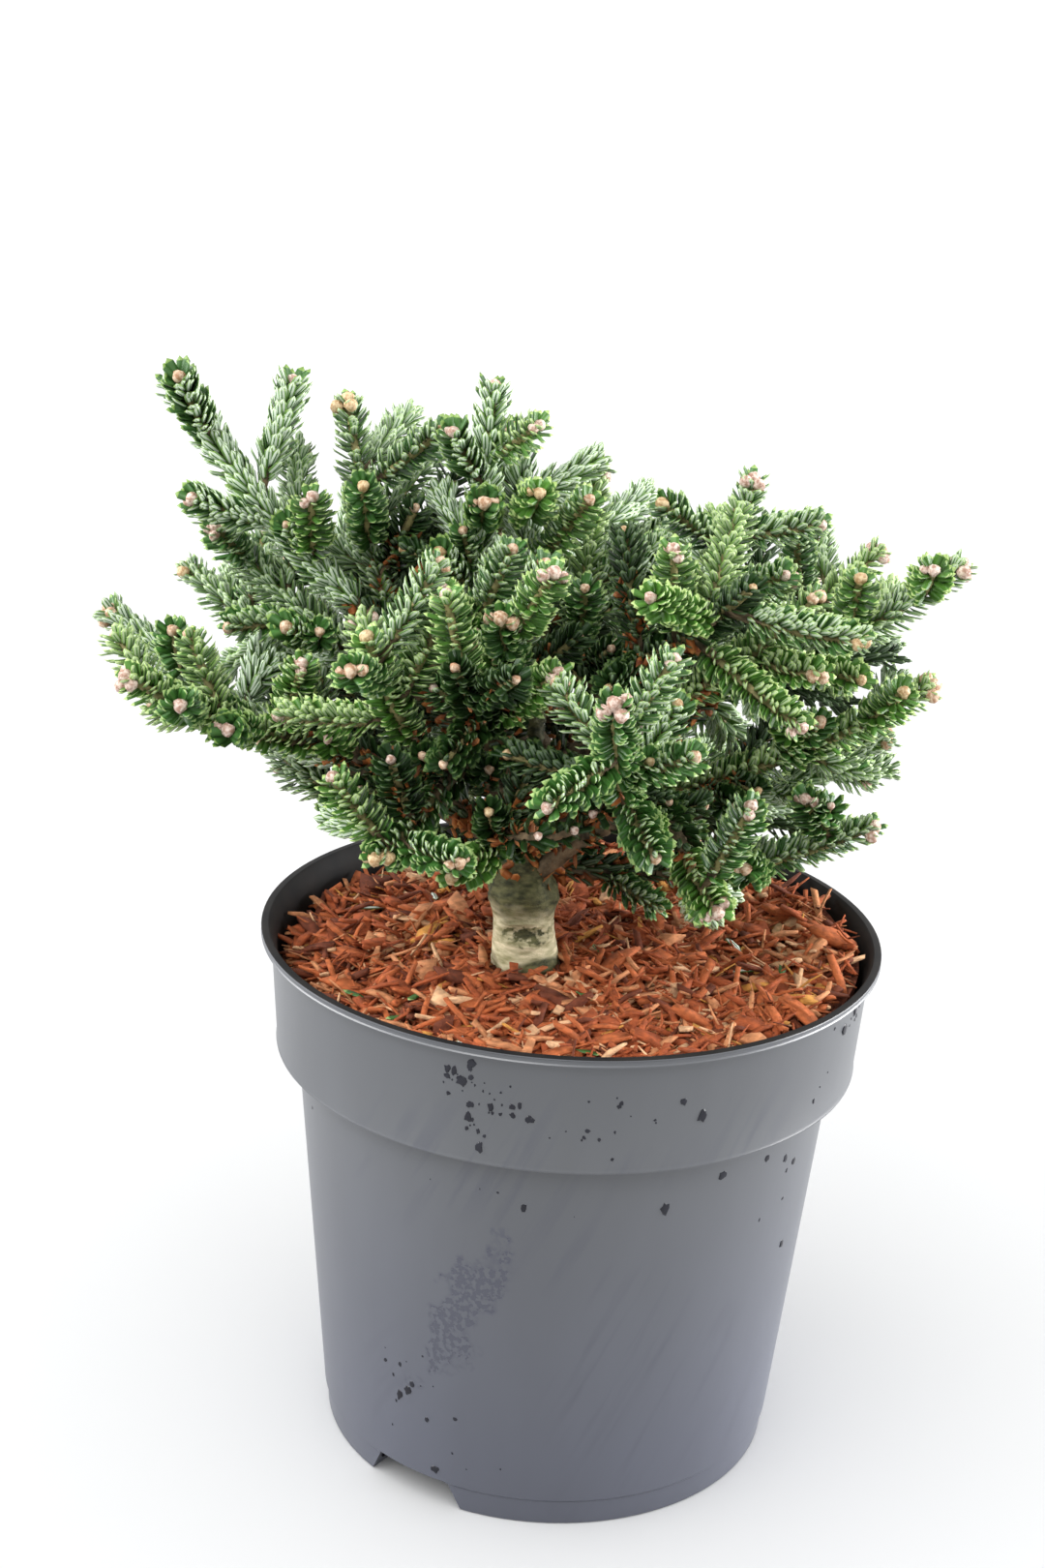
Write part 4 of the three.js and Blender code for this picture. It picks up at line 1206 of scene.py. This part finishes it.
def brush_of_needles(line, bare, radius, size, per_mm, stem_lean=LEANS["deep"]):
    """A shoot's needles, set by the golden turn from the end of its bare shank to its tip."""
    pressed = stem_lean < PRESSED_LEAN
    a, b, c = line
    span = (distance(a, b) + distance(b, c)) * (1 - bare)
    count = max(10, int(span / MM * per_mm))
    t = (bare + (1 - bare) * (np.arange(count) + 0.5) / count)[:, None]
    roots = a * (1 - t) ** 2 + b * 2 * t * (1 - t) + c * t * t
    ahead = unit_rows((b - a) * (1 - t) + (c - b) * t)
    upward = np.array([0, 0, 1.0]) - ahead * ahead[:, 2:3]
    steep = np.linalg.norm(upward, axis=1) < 0.25
    upward[steep] = np.array([0, -1.0, 0]) - ahead[steep] * ahead[steep][:, 1:2]
    upward = unit_rows(upward)
    side = np.cross(ahead, upward)
    level = (1 - np.abs(ahead[:, 2])) * ~steep
    turn = GOLDEN_TURN * np.arange(count) + 360 * growth.random() + 16 * growth.normal(size=count)
    turn = np.radians((turn % 360 - 180) * (1 - 0.3 * level))
    out = upward * np.cos(turn)[:, None] + side * np.sin(turn)[:, None]
    near_tip = np.clip((t[:, 0] - 0.8) / 0.2, 0, 1)
    near_foot = np.clip(1 - (t[:, 0] - bare) / 0.12, 0, 1)
    lean = stem_lean + (9 if pressed else -14) * near_tip + 6 * near_foot
    lean = np.radians(lean + 5 * growth.normal(size=count))[:, None]
    bend = 16 + 0.15 * (stem_lean - 40) + 4 * growth.normal(size=count)
    bend = np.radians(bend)[:, None]
    start_ways = ahead * np.cos(lean) + out * np.sin(lean)
    end_ways = ahead * np.cos(lean - bend) + out * np.sin(lean - bend)
    faces_up = ahead * np.sin(lean) - out * np.cos(lean)
    if not pressed:
        faces_up = faces_up + upward * (1.2 * level[:, None])
    faces_up = faces_up + 0.14 * growth.normal(size=(count, 3))
    lengths = NEEDLE_LENGTH * size * (1 - 0.24 * near_tip - 0.2 * near_foot)
    lengths *= 1 - 0.005 * (stem_lean - 40)
    lengths = lengths * (0.88 + 0.24 * growth.random(count))
    widths = NEEDLE_WIDTH * (0.9 + 0.2 * growth.random(count)) * (0.5 + 0.5 * size)
    widths *= 1.1 if pressed else 1
    return needle_shapes(
        roots + out * (0.5 * radius), start_ways, end_ways, faces_up, lengths, widths,
    )


def green_of(name, order, line):
    """A spray's green: the darkest, painted shade on older needles, inside the crown and in its
    hollows; silver, or the bright one of painted light, by its mass and its side.
    """
    if order == "inner":
        return "deep"
    chance = growth.random()
    if hollow_of(line) or depth_of(line[2]) + 0.18 * (chance - 0.5) < DEEP_LIMIT:
        return "deep"
    front = np.clip(-(line[2][1] / CROWN_REACH[1]), -1, 1)
    silver_share = SILVER_SHARE - SILVER_SHARE * front
    if name in SILVERY:
        silver_share = 1 if order == "leader" else SILVERY_SHARE
    if growth.random() < silver_share:
        return "silver"
    # The bright green is painted light, given more often to sprays towards the front.
    bright = chance < FRONT_LIT_SHARE + FRONT_LIT_GAIN * front and name not in DUSKY
    return "bright" if bright else "fresh"


def clothed_in_needles():
    """The needles of every shoot by green, and a few old ones on the boughs."""
    sprays = {name: [] for name, *_ in GREENS}
    for name, order, line, bare, radius in clad_shoots:
        green = green_of(name, order, line)
        hollow = hollow_of(line)
        share = hollow[0] if hollow else DEEP_SHARE if green == "deep" else 1
        sprays[green].append(brush_of_needles(
            line, bare, min(radius, 1.1 * MM), NEEDLE_SIZES[order], NEEDLES_PER_MM * share,
            LEANS[green],
        ))
        # Needles on bare leader stems and along the boughs take the darkest green: older needles,
        # darkened further as painted shade.
        if order == "leader" and bare > 0.1:
            stem = (along(line, 0), along(line, bare / 2), along(line, bare))
            sprays["deep"].append(brush_of_needles(stem, 0.1, radius, 0.9, 1.1))
    for line in list(limb_lines.values())[1:]:
        sprays["deep"].append(brush_of_needles(line, 0.2, 2.6 * MM, 0.95, 1.7))
    return [np.concatenate(made) for made in sprays.values()]


def needle_finish(name, colour, darker, lighter, roughness, gloss=0.45):
    """Living needle skin: two near colours in soft patches, with a waxy gloss."""
    first, second = (tuple(part * share for part in colour) for share in (darker, lighter))
    return patchy(name, roughness, gloss, first, second, 11 * MM, 2.5, (0.2, 0.1 * MM))


needle_faces, needle_finishes = needle_skin()
mass_names = ["foliage_" + row[0] for row in MASSES]
for (name, *colours), needles in zip(GREENS, clothed_in_needles()):
    gloss = 0.2 if name == "deep" else 0.45
    finishes = [
        needle_finish("needle_%s_%s" % (name, part), colour, *look, gloss)
        for (part, *look), colour in zip(NEEDLE_PARTS, colours)
    ]
    for part, start in enumerate(range(0, len(needles), MOST_NEEDLES), 1):
        piece = "needles_%s_%d" % (name, part)
        some = needles[start:start + MOST_NEEDLES]
        mesh = joined(piece, some, needle_faces, needle_finishes)
        hidden = mass_names if piece == "needles_bright_1" else ()
        dressed(piece, mesh, "foliage", *finishes, replaces=hidden)

# ------------------------------------------------------------------------------------------
# Buds: round resinous winter buds in mauve, tan and amber, in clusters of one to four at the
# end of every shoot and fork. The twigs that fill the inside of the crown have none.
BUD_SIDES = 9
BUD_RINGS = 6
BUD_SIZES = {"leader": 2.0 * MM, "side": 1.65 * MM, "fork": 1.2 * MM}
# How likely each kind of shoot is to hold none, one, two or three buds beside the end one.
BUD_CHANCES = {
    "leader": (0.05, 0.25, 0.45, 0.25),
    "side": (0.5, 0.3, 0.15, 0.05),
    "fork": (1, 0, 0, 0),
}
BUD_COLOURS = (
    # name, two linear colours, share
    ("mauve", (0.34, 0.19, 0.135), (0.68, 0.54, 0.46), 0.45),
    ("tan", (0.36, 0.19, 0.1), (0.66, 0.5, 0.36), 0.35),
    ("amber", (0.36, 0.21, 0.09), (0.63, 0.48, 0.28), 0.2),
)
SMALL_BUD_DEPTH = 0.56


def bud_shape(centre, way, radius):
    """The vertices of a bud: an egg whose scales overlap in rows, set half a scale apart."""
    side, other = across(way)
    rings = [centre - way * (0.95 * radius)]
    for k in range(1, BUD_RINGS + 1):
        angle = math.pi * k / (BUD_RINGS + 1)
        turns = 2 * math.pi * (np.arange(BUD_SIDES) + 0.5 * (k % 2)) / BUD_SIDES
        scales = 0.9 + 0.1 * (np.arange(BUD_SIDES) % 3) + 0.1 * growth.random(BUD_SIDES)
        reaches = radius * math.sin(angle) * scales
        points = np.outer(np.cos(turns) * reaches, side) + np.outer(np.sin(turns) * reaches, other)
        rings.extend(centre - way * (1.05 * radius * math.cos(angle)) + points)
    return np.array([*rings, centre + way * (1.15 * radius)])


def bud_faces():
    """The faces of a bud, from its foot to its point."""
    faces = []
    top = 1 + (BUD_RINGS - 1) * BUD_SIDES
    for i in range(BUD_SIDES):
        j = (i + 1) % BUD_SIDES
        faces += [(0, 1 + j, 1 + i), (top + i, top + j, top + BUD_SIDES)]
        for low in range(1, top, BUD_SIDES):
            faces.append((low + i, low + j, low + BUD_SIDES + j, low + BUD_SIDES + i))
    return faces


def bud_cluster(line, order):
    """The buds at one tip: one at the end, then others packed against it in turn."""
    tip, way = line[2], heading(line, 1)
    if hollow_of(line) or depth_of(tip) < SMALL_BUD_DEPTH:
        order = "fork"
    size = BUD_SIZES[order] * (0.88 + 0.24 * growth.random())
    made = [bud_shape(tip + way * (0.45 * size), way, size)]
    turn = 1.2 * (growth.random() - 0.5)
    for i in range(int(growth.choice(4, p=BUD_CHANCES[order]))):
        out = turned(way, turn + (0, math.pi, 0.5 * math.pi)[i] + 0.3 * growth.random())
        lesser = size * (0.78 + 0.2 * growth.random())
        place = tip + out * (1.5 * size) - way * (0.1 * size)
        made.append(bud_shape(place, unit(way + out * 0.6), lesser))
    return made


def buds():
    """The clusters of all shoots and forks, each cluster in one colour."""
    clusters = [bud_cluster(line, order) for _, order, line, *_ in clad_shoots if order != "inner"]
    shares = [row[3] for row in BUD_COLOURS]
    kinds = [[growth.choice(len(shares), p=shares)] * len(cluster) for cluster in clusters]
    shapes = np.array([bud for cluster in clusters for bud in cluster])
    return joined("buds", shapes, bud_faces(), np.concatenate(kinds)[:, None])


bud_finishes = [
    patchy("bud_" + name, 0.5, 0.45, first, second, 1.1 * MM, 5, (0.8, 0.4 * MM))
    for name, first, second, _ in BUD_COLOURS
]
dressed("buds", buds(), "foliage", *bud_finishes, smooth=70)

# ------------------------------------------------------------------------------------------
# Dead and fallen needles: orange-brown ones still held round the boughs' feet, on the trunk
# and in the hollows, and a few green and silver ones dropped on the mulch.
DEAD_PER_MM = 1.5
COLLAR_SPAN = (0.24, 0.5)
COLLAR_NEEDLES = 70
FALLEN_NEEDLES = 16
# The stretches of a bough that may hold dead needles, and how likely each is to.
HELD_STRETCHES = ((0.05, 0.4, 0.9), (0.45, 0.85, 0.6))
DEAD_PARTS = (
    ("dead_needle", (0.15, 0.036, 0.012), (0.42, 0.14, 0.035), 0.5),
    ("dead_needle_margin", (0.2, 0.06, 0.016), (0.46, 0.17, 0.045), 0.5),
    ("dead_needle_below", (0.2, 0.07, 0.03), (0.4, 0.17, 0.07), 0.6),
    ("dead_needle_tip", (0.24, 0.08, 0.02), (0.5, 0.21, 0.06), 0.5),
)


def clinging_needles(line, start, end, radius, count):
    """Withered needles that lie against a stretch of limb, each at its own slant."""
    t = start + (end - start) * growth.random(count)
    turns = 2 * math.pi * growth.random(count)
    roots, ways, faces_up = [], [], []
    for share, turn in zip(t, turns):
        ahead = heading(line, share)
        out = turned(ahead, turn)
        slant = growth.uniform(-math.pi, math.pi)
        lying = ahead * math.cos(slant) + np.cross(ahead, out) * math.sin(slant)
        way = unit(lying + out * growth.uniform(0.05, 0.6))
        stem = radius(share) if callable(radius) else radius
        roots.append(along(line, share) + out * (stem + 0.2 * MM) - way * (2 * MM))
        ways.append(way)
        faces_up.append(unit(out + 0.3 * growth.normal(size=3)))
    ways = np.array(ways)
    curled = unit_rows(ways + 0.35 * growth.normal(size=(count, 3)))
    lengths = NEEDLE_LENGTH * growth.uniform(0.62, 0.88, count)
    widths = NEEDLE_WIDTH * growth.uniform(0.85, 1.1, count)
    return needle_shapes(np.array(roots), ways, curled, np.array(faces_up), lengths, widths)


def held_dead_needles():
    """Withered needles over the trunk's collar, along the boughs and in the hollows."""
    made = [clinging_needles(TRUNK_LINE, *COLLAR_SPAN, trunk_radius, COLLAR_NEEDLES)]
    for name, _, _, bough, *_ in MASSES:
        if not bough:
            continue
        line = limb_lines[name]
        for start, end, chance in HELD_STRETCHES:
            if growth.random() < chance:
                span = distance(line[0], line[2]) / MM * (end - start)
                count = max(4, int(DEAD_PER_MM * span))
                made.append(clinging_needles(line, start, end, 0.9 * bough[3] * MM, count))
    for _, order, line, *_ in clad_shoots:
        hollow = hollow_of(line)
        if hollow:
            made.append(clinging_needles(line, 0.05, 0.7, 2 * MM, hollow[1]))
        elif order == "leader":
            made.append(clinging_needles(line, 0, 0.3, 1.5 * MM, 6))
    return np.concatenate(made)


def dropped_needles(count):
    """Needles that lie on the mulch."""
    reach = 70 * MM * np.sqrt(growth.random(count))
    roots = level_ways(growth, count) * reach[:, None]
    roots[:, 2] = mulch_level(roots[:, 0], roots[:, 1]) + 3.2 * MM
    ways = unit_rows(level_ways(growth, count) + [0, 0, 0.05])
    faces_up = np.where(growth.random((count, 1)) < 0.5, 1, -1) * np.array([[0, 0, 1.0]])
    lengths = NEEDLE_LENGTH * (0.8 + 0.4 * growth.random(count))
    return needle_shapes(roots, ways, ways, faces_up, lengths, np.full(count, NEEDLE_WIDTH))


dead_finishes = [
    bark_finish(name, first, second, 6 * MM, roughness, 0.2 * MM)
    for name, first, second, roughness in DEAD_PARTS
]
dead = joined("dead_needles", held_dead_needles(), needle_faces, needle_finishes)
dressed("dead_needles", dead, "foliage", *dead_finishes)
_, fresh_above, fresh_margin, _, fresh_tip = GREENS[1]
fallen_finishes = [
    needle_finish("fallen_needle_above", fresh_above, 0.8, 1, 0.5),
    needle_finish("fallen_needle_margin", fresh_margin, 0.8, 1, 0.5),
    patchy(
        "fallen_needle_bands", 0.6, 0.45, (0.6, 0.68, 0.62), (0.75, 0.8, 0.76), 11 * MM, 2.5,
        (0.2, 0.1 * MM),
    ),
    needle_finish("fallen_needle_tip", fresh_tip, 0.8, 1, 0.5),
]
fallen = dropped_needles(FALLEN_NEEDLES)
fallen = joined("fallen_needles", fallen, needle_faces, needle_finishes)
dressed("fallen_needles", fallen, "foliage", *fallen_finishes)

# ------------------------------------------------------------------------------------------
# Studio: a white floor that runs into a white surround, soft lights at both sides and above
# that leave the floor alone, and the camera a little over the crown, looking down at its front.
FLOOR_COLOUR = (0.86, 0.865, 0.87, 1)
# Name, place, the point it is turned to, side in metres and power in watts.
SOFTBOXES = (
    ("left_softbox", (-0.95, 0.1, 0.6), (0, 0, 0.15), 0.8, 16),
    ("right_softbox", (1.15, 0.25, 0.4), (0, 0, 0.1), 0.9, 40),
    ("front_softbox", (-0.5, -1.0, 1.1), (0, 0, 0.2), 0.6, 10.5),
)
CAMERA_PLACE = Vector((0, -0.644, 0.421))
CAMERA_PITCH = math.radians(19.42)
CAMERA_YAW = math.radians(-1.4)
CAMERA_ROLL = math.radians(2.89)
CAMERA_LENS = 56.8


def studio_floor():
    bm = bmesh.new()
    bmesh.ops.create_grid(bm, x_segments=2, y_segments=2, size=40)
    floor = placed("studio_floor", mesh_of("studio_floor", bm))
    material, _, shader = new_material("studio_white", 0.9, 0.2)
    shader.inputs["Base Color"].default_value = FLOOR_COLOUR
    floor.data.materials.append(material)
    floor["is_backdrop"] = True
    return floor


def lamp(name, kind, power, way):
    """A light of that kind and power, turned along a way."""
    light = bpy.data.lights.new(name, kind)
    light.energy = power
    holder = placed(name, light)
    holder.rotation_euler = Vector(way).to_track_quat("-Z", "Y").to_euler()
    return holder


flags = bpy.data.collections.new("softbox_flags")
flags.objects.link(studio_floor())
flags.collection_objects[0].light_linking.link_state = "EXCLUDE"
for name, place, aim, side, power in SOFTBOXES:
    softbox = lamp(name, "AREA", power, Vector(aim) - Vector(place))
    softbox.location = place
    softbox.data.shape = "SQUARE"
    softbox.data.size = side
    softbox.light_linking.receiver_collection = flags
lamp("overcast_sky", "SUN", 1.1, (0.35, 0.45, -1)).data.angle = math.radians(70)
world = bpy.data.worlds.new("studio_surround")
world.use_nodes = True
world.node_tree.nodes["Background"].inputs["Color"].default_value = (1, 1, 1, 1)
world.node_tree.nodes["Background"].inputs["Strength"].default_value = 1.0
bpy.context.scene.world = world
bpy.context.scene.view_settings.view_transform = "Standard"
camera = placed("camera", bpy.data.cameras.new("camera"))
camera.data.lens = CAMERA_LENS
camera.data.sensor_width = 36
level = Matrix.Rotation(-CAMERA_YAW, 4, "Z") @ Matrix.Rotation(math.pi / 2 - CAMERA_PITCH, 4, "X")
roll = Matrix.Rotation(CAMERA_ROLL, 4, "Z")
camera.matrix_world = Matrix.Translation(CAMERA_PLACE) @ level @ roll
bpy.context.scene.camera = camera

spans = {"cad": cad_bounds, "visual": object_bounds()}
{key: [list(corner) for corner in span] for key, span in spans.items()}
